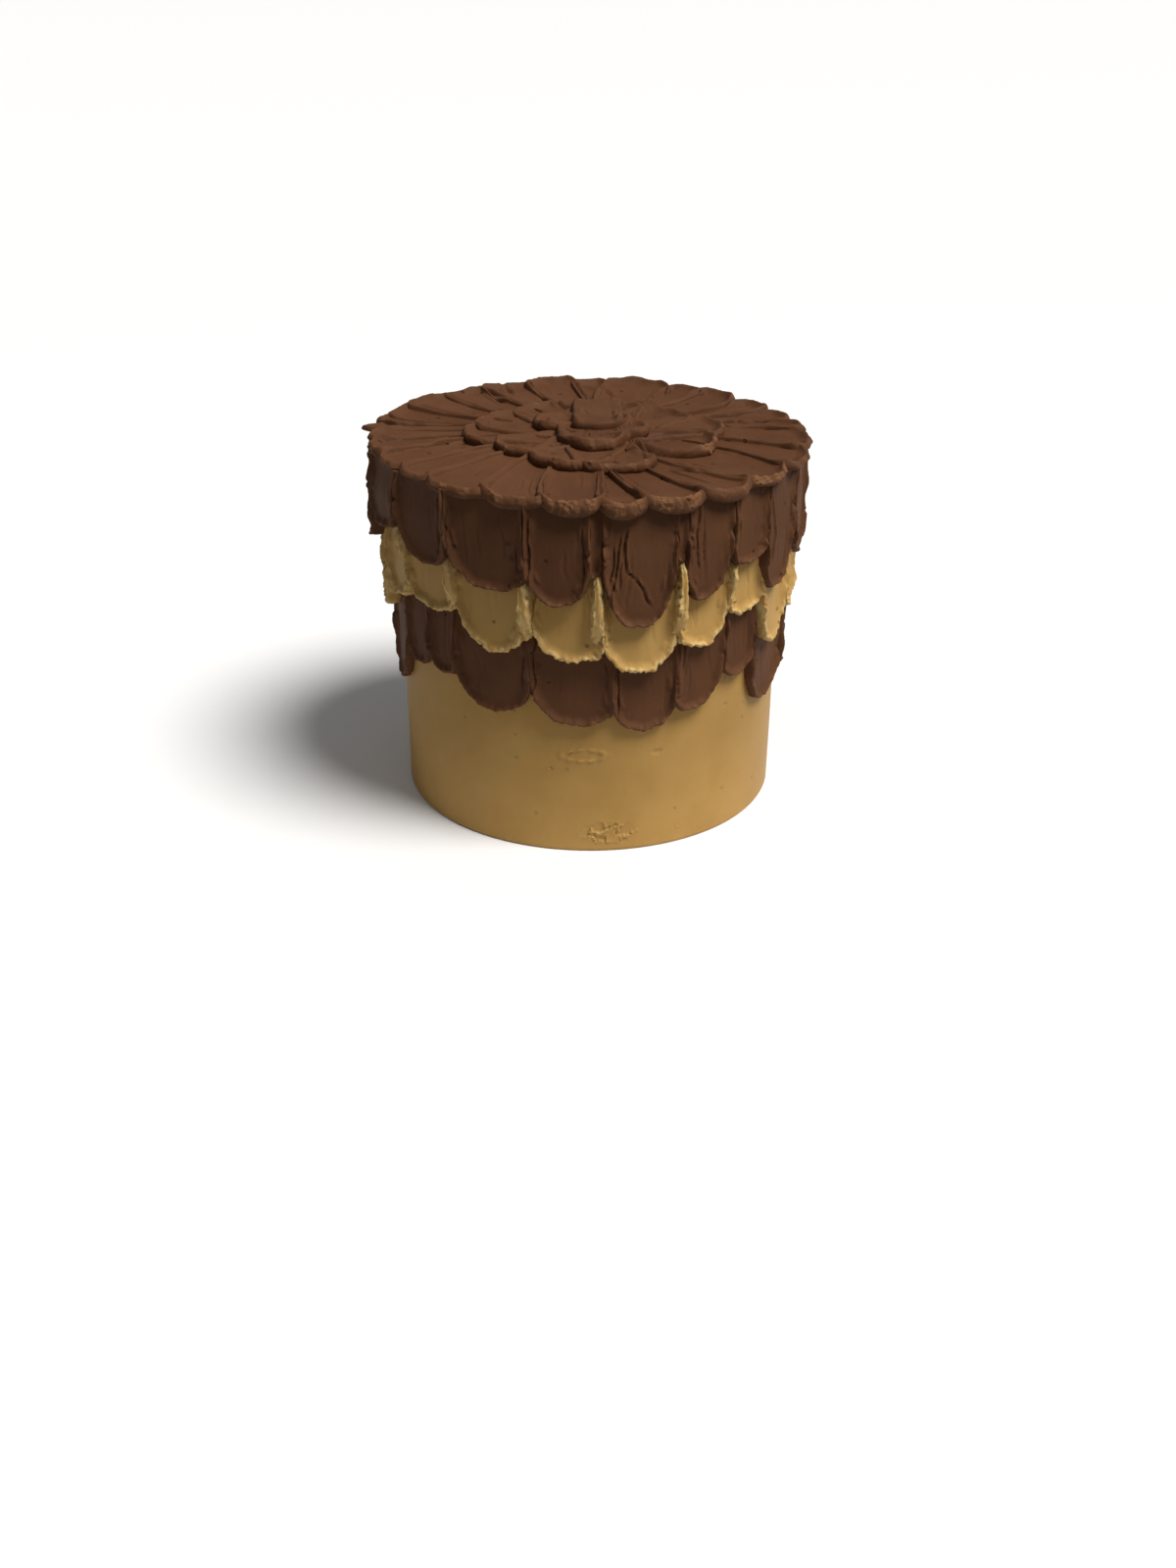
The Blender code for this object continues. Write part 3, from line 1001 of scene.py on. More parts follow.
@dataclass(frozen=True)
class Seam:
    """Where one petal of a row starts, with what is measured of the petal that starts there.

    Args:
        azimuth: Azimuth of its left side.
        cusp: Reach of the edge there.
        tip: Reach of its tip.
        lean: How far its tip is off its middle, as a share of its half width.
        lip: Height of its lip's ridge, in mm.
        droop: How far its tip hangs down, in mm.
        under: Height of its lip's underside, in mm.
        drift: How far its left side has moved round at the far end, in degrees.
        lift: How far it stands out beyond the row's face, in mm.
        torn: How torn its lip is, as a share of the row's lips.
        roundness: Its tip's roundness, below 2 for a pointed one; 0 for the row's.
        gap: How far off its left neighbour it starts, in degrees.
        grooves: Its knife lines.
    """

    azimuth: float
    cusp: float
    tip: float
    lean: float = 0.0
    lip: float = 0.55
    droop: float = 0.0
    under: float = 0.0
    drift: float = 0.0
    lift: float = 0.0
    torn: float = 1.0
    roundness: float = 0.0
    gap: float = 0.0
    grooves: tuple[Groove, ...] = ()


def ring(seams: list[Seam], seed: int, overlap: float, lift: float, tilt: float = 0.3) -> list[Swipe]:
    """Makes a row's petals from its seams, each petal reaching a little past its seams.

    Args:
        seams: The seams, in order of azimuth, all round the cake.
        seed: Seed of the random draws.
        overlap: How far a petal reaches past each seam, in degrees.
        lift: How much petals differ in how far they stand out, in mm.
        tilt: How much further one side of a petal stands out than its middle at most, in mm.

    Returns:
        The petals.
    """
    draw = np.random.default_rng(seed)
    petals = []
    for number, seam in enumerate(seams):
        following = seams[(number + 1) % len(seams)]
        width = (following.azimuth - seam.azimuth) % 360
        petals.append(Swipe(
            left=seam.azimuth - overlap + seam.gap, right=seam.azimuth + width + overlap,
            cusps=(seam.cusp, following.cusp), tip=seam.tip, lean=seam.lean,
            lift=seam.lift + float(draw.uniform(-lift, lift)), tilt=float(draw.uniform(-tilt, tilt)),
            lip=seam.lip, torn=seam.torn, roundness=seam.roundness,
            droop=seam.droop, under=seam.under, drifts=(seam.drift, following.drift), overlap=overlap,
            grooves=seam.grooves))
    return petals


def back_seams(end: float, tips: tuple[float, float], drop: tuple[float, float], seed: int) -> list[Seam]:
    """Spreads a row's unseen petals evenly over the back.

    Args:
        end: Azimuth where they end.
        tips: Lowest and highest reach of the tips.
        drop: Least and most that a cusp lies beyond the highest tip.
        seed: Seed of the random draws.

    Returns:
        The seams.
    """
    draw = np.random.default_rng(seed)
    width = (end - BACK_START) / BACK_COUNT
    made = []
    for number in range(BACK_COUNT):
        stray = draw.uniform(-0.1, 0.1) if number else 0.0
        made.append(Seam(BACK_START + width * (number + stray), tips[1] + draw.uniform(*drop),
                         draw.uniform(*tips), lean=draw.uniform(-0.25, 0.25)))
    return made


# Measured seams of the side's rows, from the left round the front to the right
LOWER_SEAMS = [
    Seam(-84.0, 66.0, 50.9), Seam(-63.0, 71.0, 64.6), Seam(-51.1, 71.0, 66.0, lean=0.2),
    Seam(-39.6, 70.0, 56.6, lean=0.05), Seam(-16.1, 67.1, 54.4, lean=0.1),
    Seam(6.5, 61.0, 51.4, lean=-0.05), Seam(24.7, 61.5, 57.2, lean=-0.3),
    Seam(40.0, 70.0, 66.0, lean=-0.2), Seam(52.0, 70.0, 49.5, lean=-0.25), Seam(75.0, 57.0, 54.0),
    Seam(89.0, 62.0, 52.0),
]
MIDDLE_SEAMS = [
    Seam(-90.0, 94.0, 78.1), Seam(-72.0, 99.0, 91.0, lean=0.3), Seam(-56.6, 99.5, 92.5, lean=0.2),
    Seam(-38.1, 97.0, 82.2, lean=0.3, drift=0.7), Seam(-17.2, 102.0, 81.0, lean=0.1, drift=1.2),
    Seam(5.0, 88.0, 76.3, lean=-0.15, drift=-5.5), Seam(24.3, 88.0, 83.0, lean=-0.1, drift=-3.2),
    Seam(39.5, 96.5, 91.5, lean=-0.2, drift=-2.2), Seam(53.9, 96.0, 73.4, lean=-0.15, drift=-4.0),
    Seam(70.0, 90.0, 80.0), Seam(85.0, 88.0, 74.5),
]
UPPER_SEAMS = [
    Seam(-92.0, 121.0, 105.5), Seam(-75.0, 126.0, 117.0), Seam(-56.7, 125.0, 111.5, lean=0.3),
    Seam(-37.4, 121.0, 107.0, lean=0.2), Seam(-16.0, 114.0, 103.5, lean=0.1, grooves=(
        Groove(((-0.8, 0.15), (-0.74, 0.45), (-0.86, 0.62), (-0.8, 0.85)), 1.0, 0.45),
        Groove(((0.72, 0.2), (0.8, 0.5), (0.7, 0.8)), 0.8, 0.4))),
    Seam(0.0, 116.5, 94.9, gap=2.8, grooves=(
        Groove(((0.27, 0.17), (0.15, 0.22), (0.07, 0.31), (-0.1, 0.4), (-0.33, 0.47), (-0.4, 0.58),
                (-0.35, 0.8)), 1.1, 0.42),
        Groove(((-0.67, 0.18), (-0.73, 0.31), (-0.63, 0.44), (-0.5, 0.75)), 0.9, 0.4),
        Groove(((-0.5, 0.3), (-0.52, 0.45), (-0.42, 0.7)), 0.5, 0.35))),
    Seam(21.6, 118.5, 102.5, lean=-0.3, gap=2.8, grooves=(
        Groove(((-0.5, 0.3), (-0.6, 0.6), (-0.5, 0.95)), 0.9, 0.4),
        Groove(((-0.3, 0.35), (-0.35, 0.8)), 0.5, 0.35))),
    Seam(38.0, 117.7, 112.0, lean=-0.3), Seam(51.0, 115.0, 97.9, lean=-0.3, grooves=(
        Groove(((-0.5, 0.25), (-0.45, 0.5), (-0.6, 0.8)), 0.9, 0.4),)),
    Seam(67.0, 117.0, 104.0), Seam(83.0, 112.0, 102.0),
]
# The petals that aren't seen: azimuth of the first, and how many in a row
BACK_START = 101.0
BACK_COUNT = 9

# Measured seams of the rim's petals, all round
RIM_SEAMS = [
    Seam(-68.7, 83.4, 85.8, lip=0.7, under=141.0, droop=0.4, drift=-18.0, torn=0.3),
    Seam(-56.0, 83.4, 85.4, lip=0.6, under=141.0, droop=0.6, drift=-12.0, torn=0.2),
    Seam(-44.2, 83.8, 86.0, lip=0.8, under=139.8, droop=1.2, drift=-9.0, torn=0.5),
    Seam(-26.2, 84.2, 86.6, lip=0.9, under=139.2, droop=1.4, drift=-11.0, torn=0.6),
    Seam(-10.9, 84.8, 87.4, lip=1.2, under=138.2, droop=1.6, drift=-10.0, torn=1.2),
    Seam(2.0, 85.2, 87.6, lip=1.0, under=137.8, droop=1.9, drift=3.0, torn=0.9),
    Seam(13.5, 85.0, 87.2, lip=1.2, under=138.2, droop=1.6, drift=-7.5, torn=1.3),
    Seam(29.0, 84.2, 86.6, lip=1.0, under=139.0, droop=1.3, drift=-6.0, torn=0.5),
    Seam(43.5, 83.8, 86.2, lip=1.3, under=140.2, droop=0.7, drift=-9.0, torn=1.2),
    Seam(59.0, 82.4, 86.0, lip=1.0, under=141.0, droop=0.4, drift=17.0, torn=0.4, roundness=3.0),
    Seam(77.8, 82.2, 85.3, lip=1.0, under=140.8, drift=14.0, torn=0.4, roundness=2.6),
    Seam(96.8, 81.6, 86.0, lean=-0.2, lip=1.2, under=140.8, drift=18.0, torn=0.5, roundness=3.0),
    Seam(106.0, 81.8, 85.8, lip=1.2, under=140.8, drift=15.0, lift=0.2, torn=0.3, roundness=3.0),
    Seam(117.0, 81.6, 86.4, lean=0.2, lip=1.2, under=140.8, drift=10.0, lift=0.4, torn=0.3, roundness=3.0),
    Seam(130.7, 81.0, 87.2, lean=0.2, lip=1.4, under=140.8, drift=5.0, lift=1.1, torn=0.4),
    Seam(144.5, 84.0, 86.0, lip=1.3, under=140.8, drift=6.0, lift=0.7, torn=0.3),
    Seam(157.5, 81.8, 87.6, lean=-0.3, lip=1.6, under=140.8, drift=-4.0, lift=1.8, torn=0.4),
    Seam(176.0, 85.0, 86.4, lip=1.4, under=140.8, drift=4.0, lift=1.1, torn=0.3),
    Seam(186.0, 84.0, 87.4, lip=1.6, under=140.8, drift=-6.0, lift=2.0, torn=0.6),
    Seam(200.0, 84.8, 86.4, lip=1.4, under=140.8, drift=-5.0, lift=1.2, torn=0.3),
    Seam(214.0, 84.8, 86.4, lip=1.3, under=140.8, drift=-3.0, lift=1.0, torn=0.3),
    Seam(227.0, 84.8, 87.0, lip=1.4, under=140.8, lift=1.6, torn=0.4),
    Seam(244.0, 84.6, 86.6, lip=1.2, under=140.8, drift=-3.0, lift=1.0, torn=0.4),
    Seam(255.5, 84.6, 87.2, lip=1.2, under=141.0, drift=-5.0, lift=0.8, torn=0.6),
    Seam(260.5, 85.0, 91.2, lip=0.5, under=141.4, drift=-5.0, lift=0.3, torn=0.2, roundness=1.25),
    Seam(267.5, 85.0, 86.2, lip=1.0, under=141.0, drift=-8.0, lift=0.3, torn=0.6),
    Seam(276.0, 83.4, 86.2, lip=1.1, under=141.0, drift=-10.0, lift=0.2, torn=0.5),
]


@dataclass(frozen=True)
class Spot:
    """A petal that lies freely on the top.

    Args:
        east: Its tip's place towards +X, in mm.
        north: Its tip's place towards +Y, in mm.
        heading: Azimuth that it points to.
        half: Its half width, in mm.
        length: Its length, in mm.
        depths: How far its outline falls back at its left and right side, in mm.
        lip: Height of its lip's ridge, in mm.
        lift: How far it stands out beyond the row's face, in mm.
        tilt: How much further its right side stands out than its middle, in mm.
        dish: How dished its face is, as a share of the row's dish.
        torn: How torn its lip is, as a share of the row's lips.
    """

    east: float
    north: float
    heading: float
    half: float
    length: float
    depths: tuple[float, float] = (10.0, 10.0)
    lip: float = 1.1
    lift: float = 0.0
    tilt: float = 0.0
    dish: float = 1.0
    torn: float = 0.8


INNER_SPOTS = [
    Spot(-24.0, 41.0, 212.0, 15.0, 38.0), Spot(7.0, 47.0, 172.0, 16.0, 40.0),
    Spot(34.0, 33.0, 134.0, 15.0, 38.0), Spot(-44.0, 20.0, 246.0, 15.0, 36.0, lip=0.9),
    Spot(-50.0, -1.0, -93.0, 15.0, 42.0, (9.0, 12.0), lip=1.0, tilt=0.3),
    Spot(52.0, 11.0, 103.0, 14.0, 40.0, (9.0, 9.0), lip=1.2, lift=0.1),
    Spot(-34.0, -24.0, -58.0, 13.0, 32.0, (9.0, 9.0), lip=1.0, lift=0.1),
    Spot(11.5, -51.0, 12.0, 16.0, 42.0, (16.0, 13.0), lip=1.3, lift=0.1),
    Spot(-12.0, -46.5, -20.0, 16.5, 38.0, (15.0, 13.0), lip=1.3, lift=0.3),
    Spot(48.0, -16.0, 78.0, 17.0, 38.0, (15.0, 13.0), lip=1.3, lift=0.5, tilt=0.1, dish=1.8, torn=1.3),
]
CENTRE_SPOTS = [
    Spot(-14.0, 17.0, 218.0, 10.0, 22.0), Spot(10.0, 20.0, 160.0, 10.0, 22.0),
    Spot(22.5, 2.0, 96.0, 11.0, 24.0, lip=1.2, tilt=-0.3),
    Spot(-22.0, 6.5, -62.0, 9.5, 24.0, (8.0, 8.0), lip=1.3),
    Spot(2.4, -26.8, 4.0, 14.5, 36.0, (22.0, 24.0), lip=1.9, lift=0.4),
    Spot(2.8, 0.0, 1.0, 10.5, 40.0, (3.5, 6.0), lip=0.25, lift=1.7, tilt=0.3, dish=-0.5, torn=0.0),
]


# Knife lines on the rim's petals: gouges, and edges that neighbours were pressed over
RIM_LINES = (
    Groove(((-72.4, 42.6), (-61.5, 37.0), (-48.8, 29.0)), 1.3, 0.7),
    Groove(((-66.3, -18.6), (-58.2, -14.1), (-51.3, -11.1)), 1.0, 0.6),
    Groove(((-45.5, 69.7), (-36.7, 52.7)), 1.6, 1.0), Groove(((-38.2, 75.5), (-34.0, 68.0)), 1.5, 1.0),
    Groove(((-38.8, 43.6), (-33.8, 36.2)), 1.0, 0.8),
    Groove(((52.9, 27.7), (57.8, 24.7), (63.8, 20.2)), 1.5, 0.9),
    Groove(((48.8, -13.9), (57.8, -21.9), (68.2, -34.5)), 0.9, 0.7),
    Groove(((50.7, 41.1), (59.4, 44.0), (66.1, 46.8)), 0.9, 0.7),
    Groove(((24.0, -41.4), (34.5, -46.2), (47.8, -53.3)), 1.0, 0.7),
    Groove(((24.5, -41.5), (33.0, -50.4), (43.0, -62.0)), 0.9, 0.6),
    Groove(((27.8, -31.4), (35.7, -35.3), (44.4, -43.4)), 0.9, 0.6),
    Groove(((-22.4, 68.5), (-14.9, 43.8), (-8.5, 35.2), (-7.4, 16.9)), 1.3, 0.8),
    Groove(((-9.2, 81.4), (3.9, 73.5), (8.3, 64.0)), 1.4, 1.0),
    Groove(((4.3, 48.1), (9.3, 39.6), (11.9, 15.1)), 0.9, 0.7),
    Groove(((16.5, 59.1), (25.1, 52.6)), 1.4, 1.0),
)
# Knife lines on the inner petals, the open hollow first
INNER_LINES = (
    Groove(((15.5, -12.0), (19.0, -21.0), (23.7, -29.9)), 3.4, 2.2),
    Groove(((4.7, -32.9), (8.9, -40.9), (10.0, -45.6)), 0.8, 0.6),
    Groove(((-38.8, 43.6), (-33.8, 36.2)), 1.0, 0.8),
    Groove(((-18.0, 50.0), (-14.9, 43.8), (-8.5, 35.2)), 1.2, 0.8),
    Groove(((4.3, 48.1), (9.3, 39.6)), 0.9, 0.7),
    Groove(((20.0, -5.0), (30.0, -0.5), (41.0, -3.5)), 1.5, 0.8),
)


def laid(spots: list[Spot], seed: int) -> list[Swipe]:
    """Makes the petals that lie freely on the top.

    Args:
        spots: Their places.
        seed: Seed of the random draws.

    Returns:
        The petals.
    """
    draw = np.random.default_rng(seed)
    return [Swipe(left=0.0, right=0.0, cusps=spot.depths, tip=0.0, lean=float(draw.uniform(-0.1, 0.1)),
                  lift=spot.lift + float(draw.uniform(-0.1, 0.1)), tilt=spot.tilt, lip=spot.lip,
                  dish=spot.dish, torn=spot.torn,
                  spot=(spot.east, spot.north), heading=spot.heading, size=(spot.half, spot.length))
            for spot in spots]


# How far the upper row goes on under the rim's petals, in mm
UNDER_RIM = 1.8


def petal_rows() -> list[PetalRow]:
    """Sets out all rows of petals, from the lowest row of the side to the middle of the top.

    Returns:
        The rows.
    """
    top = {name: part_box(name)[1][2] / MM for name in (
        "cake_body", "side_petals_lower", "side_petals_middle", "side_petals_upper")}
    plane = top["cake_body"]
    lower = LOWER_SEAMS + back_seams(276.0, (50, 62), (3, 7), 11)
    middle = MIDDLE_SEAMS + back_seams(270.0, (76, 86), (4, 9), 12)
    upper = UPPER_SEAMS + back_seams(268.0, (98, 111), (5, 9), 13)
    return [
        PetalRow("lower_side_petals", "side_petals_lower", Slot.CHOCOLATE, Lay.SIDE,
                 ring(lower, 21, 0.6, 0.3), back=75.2, thick=3.0, far=top["side_petals_lower"], seed=31,
                 roundness=2.2, dish=1.0, ridge=1.5, swell=0.75, bank=0.9, tear=(0.6, 0.3), taper=1.2,
                 sunk=0.8),
        PetalRow("middle_side_petals", "side_petals_middle", Slot.TAN, Lay.SIDE,
                 ring(middle, 22, 0.6, 0.3) + fins(), back=77.0, thick=4.4, far=top["side_petals_middle"],
                 seed=32, left_bulge=0.9, ridge=1.6, dish=1.0, swell=0.85, bank=0.9, tear=(1.3, 0.8),
                 ragged=0.5, sunk=0.8),
        PetalRow("upper_side_petals", "side_petals_upper", Slot.CHOCOLATE, Lay.SIDE,
                 ring(upper, 23, 0.45, 0.3, 0.5) + strips(), back=79.2, thick=5.5,
                 far=top["side_petals_upper"] + UNDER_RIM, seed=33, left_bulge=1.7, taper=1.2, dish=0.8,
                 ridge=1.6, swell=0.7, bank=0.9, tear=(0.65, 0.35)),
        PetalRow("outer_top_petals", "top_petals_outer", Slot.CHOCOLATE, Lay.TOP,
                 ring(RIM_SEAMS, 24, 1.8, 0.3, 0.6), back=plane - 1.6, thick=4.6, far=36.0, seed=34,
                 columns=97, grain=0.44, pitch=1.15, dish=0.9, ridge=0.7, taper=-0.3, swell=1.15, bank=-0.3,
                 swing=0.3, ragged=0.3, tear=(1.1, 0.15), lines=RIM_LINES),
        PetalRow("inner_top_petals", "top_petals_inner", Slot.CHOCOLATE, Lay.TOP,
                 laid(INNER_SPOTS, 25), back=plane + 1.8, thick=2.7, far=8.0, seed=35,
                 columns=109, pitch=0.6, dish=0.9, ridge=0.6, taper=0.6, swell=1.15, roundness=2.1,
                 swing=0.3, ragged=0.3, tear=(0.7, 0.4), lines=INNER_LINES),
        PetalRow("centre_top_petals", "top_petals_centre", Slot.CHOCOLATE, Lay.TOP,
                 laid(CENTRE_SPOTS, 26), back=plane + 3.0, thick=3.0, far=0.8, seed=36,
                 columns=109, pitch=0.5, dish=0.8, ridge=0.9, taper=0.6, swell=1.35, roundness=2.1,
                 swing=0.25, ragged=0.3, tear=(0.6, 0.4), lines=INNER_LINES[:1]),
    ]


# Tan ridges pushed up between the upper petals: azimuth, lowest and highest reach, half width in degrees
FINS = (
    (-57.0, 104.0, 122.0, 1.7), (-37.2, 95.0, 119.0, 2.3), (-16.2, 88.0, 120.0, 2.5),
    (1.9, 88.0, 118.0, 2.4), (23.2, 88.0, 121.0, 2.5), (38.6, 95.0, 116.0, 1.6),
    (102.0, 96.0, 116.0, 1.8), (136.0, 96.0, 115.0, 1.8), (173.0, 95.0, 114.0, 2.0),
    (229.0, 96.0, 115.0, 1.8),
)
# Sunk chocolate strips in the open seams of the upper row: azimuth and lowest reach
STRIPS = ((1.3, 113.5), (23.0, 117.0), (-37.2, 120.0))


def strips() -> list[Swipe]:
    """Makes the sunk strips that close the upper row behind its open seams."""
    return [Swipe(left=azimuth - 2.2, right=azimuth + 2.2, cusps=(low + 3, low + 4), tip=low, lip=0.3,
                  lift=-0.5, overlap=0.2, ramp=(10.0, 0.8), torn=1.4, ridged=0.2, roundness=1.6, spread=4.0)
            for azimuth, low in STRIPS]


def fins() -> list[Swipe]:
    """Makes the ridges between the upper petals, each a very narrow petal that sinks in at its far end.

    Returns:
        The petals.
    """
    draw = np.random.default_rng(27)
    made = []
    for azimuth, low, high, half in FINS:
        stray = draw.uniform(-0.4, 0.4)
        made.append(Swipe(
            left=azimuth - half, right=azimuth + half, cusps=(low + 5, low + 6), tip=low, lip=0.2, lift=3.6,
            overlap=0.2, fade=((high - low) * 0.75, (high - low) * 1.2, 6.5), ramp=(14.0, 3.2), torn=1.1,
            ridged=0.15, roundness=1.6, spread=4.0, dish=-0.9,
            drifts=(stray + 0.6 * half, stray - 0.6 * half)))
    return made


# The body


@dataclass
class IcedDrum:
    """The smooth iced body under the petals.

    Args:
        columns: Points round it.
        shown: Height up to which it is seen, in mm.
        pitch: Distance between its points there, in mm.
        base: Its radius there, in mm.
        backing: Its hidden radii behind the middle and the upper row, in mm.
        crowd: Where its columns are denser: how much, at which azimuth, and over how many degrees.
        seed: Seed of the relief.
        oval: A shallow oval line left by the scraper: azimuth, height, half width in degrees and half
            height in mm.
        line: Height of that line, in mm.
        marks: Torn spots, each an oval's four numbers and a strength.
    """

    columns: int = 540
    shown: float = 80.0
    pitch: float = 0.52
    base: float = 75.8
    backing: tuple[float, float] = (77.6, 79.6)
    crowd: tuple[float, float, float] = (1.8, 8.0, 24.0)
    seed: float = 4.0
    oval: tuple[float, float, float, float] = (-1.5, 41.3, 7.0, 2.6)
    line: float = 0.65
    marks: tuple[tuple[float, ...], ...] = (
        (-3.0, 41.3, 4.0, 1.6, 0.7), (20.0, 41.0, 2.2, 1.2, 1.0), (6.0, 8.0, 10.0, 6.0, 0.9),
        (28.0, 7.0, 1.6, 1.2, 1.0), (-11.0, 35.0, 0.9, 0.8, 1.0))

    def _profile(self) -> tuple[np.ndarray, np.ndarray]:
        """Works out its outline: a rounded foot, the wall that is seen, and hidden steps.

        Returns:
            The heights and the radii of its rings from the foot up, in mm.
        """
        low, high, top = (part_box(name)[1][2] / MM for name in (
            "side_petals_lower", "side_petals_middle", "cake_body"))
        wall = np.arange(1.6, self.shown, self.pitch)
        heights = np.concatenate([[0.0, 0.35, 0.9], wall, [low, low + 0.3, high, high + 0.3, top]])
        inner, outer = self.backing
        radii = np.concatenate([[self.base - 0.9, self.base - 0.35, self.base],
                                np.full(len(wall), self.base), [self.base, inner, inner, outer, outer]])
        return heights, radii

    def _turns(self) -> np.ndarray:
        """Spreads its columns, denser at the front.

        Returns:
            Their azimuths, in radians.
        """
        much, azimuth, width = self.crowd
        even = np.linspace(-180, 180, 3601)
        share = np.cumsum(1 + much * np.exp(-((even - azimuth) / width) ** 2))
        share = (share - share[0]) / (share[-1] - share[0])
        return np.interp(np.arange(self.columns) / self.columns, share, np.radians(even))

    def _marks(self, turn: np.ndarray, heights: np.ndarray) -> tuple[np.ndarray, np.ndarray]:
        """Lays the torn spots and the oval line out on the wall.

        Args:
            turn: Azimuths of the columns, in radians.
            heights: Heights of the rings, in mm.

        Returns:
            How torn each point is, and how far the line stands out there, in mm.
        """
        degrees = (np.degrees(turn) + 180) % 360 - 180
        torn = np.zeros((len(turn), len(heights)))
        for azimuth, height, wide, tall, strength in self.marks:
            gap = np.hypot((degrees[:, None] - azimuth) / wide, (heights - height) / tall)
            torn = np.maximum(torn, strength * ease(gap, 1.0, 0.55))
        azimuth, height, wide, tall = self.oval
        gap = np.hypot((degrees[:, None] - azimuth) / wide, (heights - height) / tall)
        broken = 0.7 + 0.3 * np.sin(degrees * 2.1)
        return torn, self.line * np.exp(-((gap - 0.9) / 0.17) ** 2) * broken[:, None]

    def build(self, relief: Modifier, material: bpy.types.Material) -> bpy.types.Object:
        """Models the body and dresses it.

        Args:
            relief: The relief of its wall.
            material: The icing.

        Returns:
            The body's piece.
        """
        heights, radii = self._profile()
        turn = self._turns()
        torn, line = self._marks(turn, heights)
        around = np.stack([np.sin(turn), -np.cos(turn), np.zeros_like(turn)], -1)
        points = around[:, None, :] * radii[None, :, None]
        points[..., 2] = heights
        points = points + around[:, None, :] * line[..., None]
        rows = len(heights)
        number = np.arange(self.columns * rows).reshape(self.columns, rows)
        following = np.roll(number, -1, 0)
        faces = np.stack([number[:, :-1], following[:, :-1], following[:, 1:], number[:, 1:]], -1)
        faces = faces.reshape(-1, 4).tolist()
        faces.append(number[::-1, 0].tolist())
        faces.append(number[:, -1].tolist())
        shown = ease(heights, self.shown, self.shown - 8) * ease(heights, 0.0, 3.0)
        made = make_object("iced_body", Blank(
            points=points.reshape(-1, 3) * MM, faces=faces, out=np.repeat(around, rows, 0),
            swipe=np.zeros((number.size, 3)), face=np.tile(shown, self.columns), torn=torn.ravel()))
        relief.apply(made, {"Material": material, "Seed": self.seed})
        made.data.shade_smooth()
        made.data.set_sharp_from_angle(angle=math.radians(50))
        return made


def drum_tree() -> Modifier:
    """Builds the relief of scraped icing: broad waves, level scraper bands and a few pits.

    Returns:
        The tree, whose sizes are in mm.
    """
    number, material = "NodeSocketFloat", "NodeSocketMaterial"
    made = Modifier("scraped_relief", {
        "Wave depth": (number, 0.45), "Band depth": (number, 0.12), "Pit depth": (number, 0.5),
        "Torn depth": (number, 0.7), "Seed": (number, 0.0), "Material": (material, None)})
    tree = made.tree
    seed = made.input("Seed")
    where = tree.add("GeometryNodeInputPosition")
    face, torn = made.attribute("face"), made.attribute("torn")
    flakes = tree.noise(where.scaled((1, 1, 2.0)), 170.0, detail=3, seed=seed + 6) - 0.5
    brink = (flakes * flakes).step(0.0012, 0.0)
    tears = (flakes.step(-0.02, 0.02) * 0.6 + brink * 0.8 - 0.5) * made.input("Torn depth") * torn
    waves = (tree.noise(where, 22, detail=2, seed=seed) - 0.5) * made.input("Wave depth")
    bands = tree.noise(where.scaled((14, 14, 260)), 1.0, detail=3, seed=seed + 3)
    bands = (bands - 0.5) * made.input("Band depth")
    pick = tree.add("FunctionNodeSeparateColor", None, {0: tree.cells(where, 95.0, "Color")})
    pits = tree.cells(where, 95.0).step(0.09, 0.04) * pick.step(0.86, 0.9) * made.input("Pit depth")
    moved = made.pushed((waves + bands - pits) * face + tears)
    # The heights kept as relief are where the material paints shade into the low places.
    kept = made.stored(moved, "relief", (bands - pits * 1.5) * face + tears)
    made.finish(made.stored(kept, "torn", brink * torn * 0.6))
    return made


# Studio


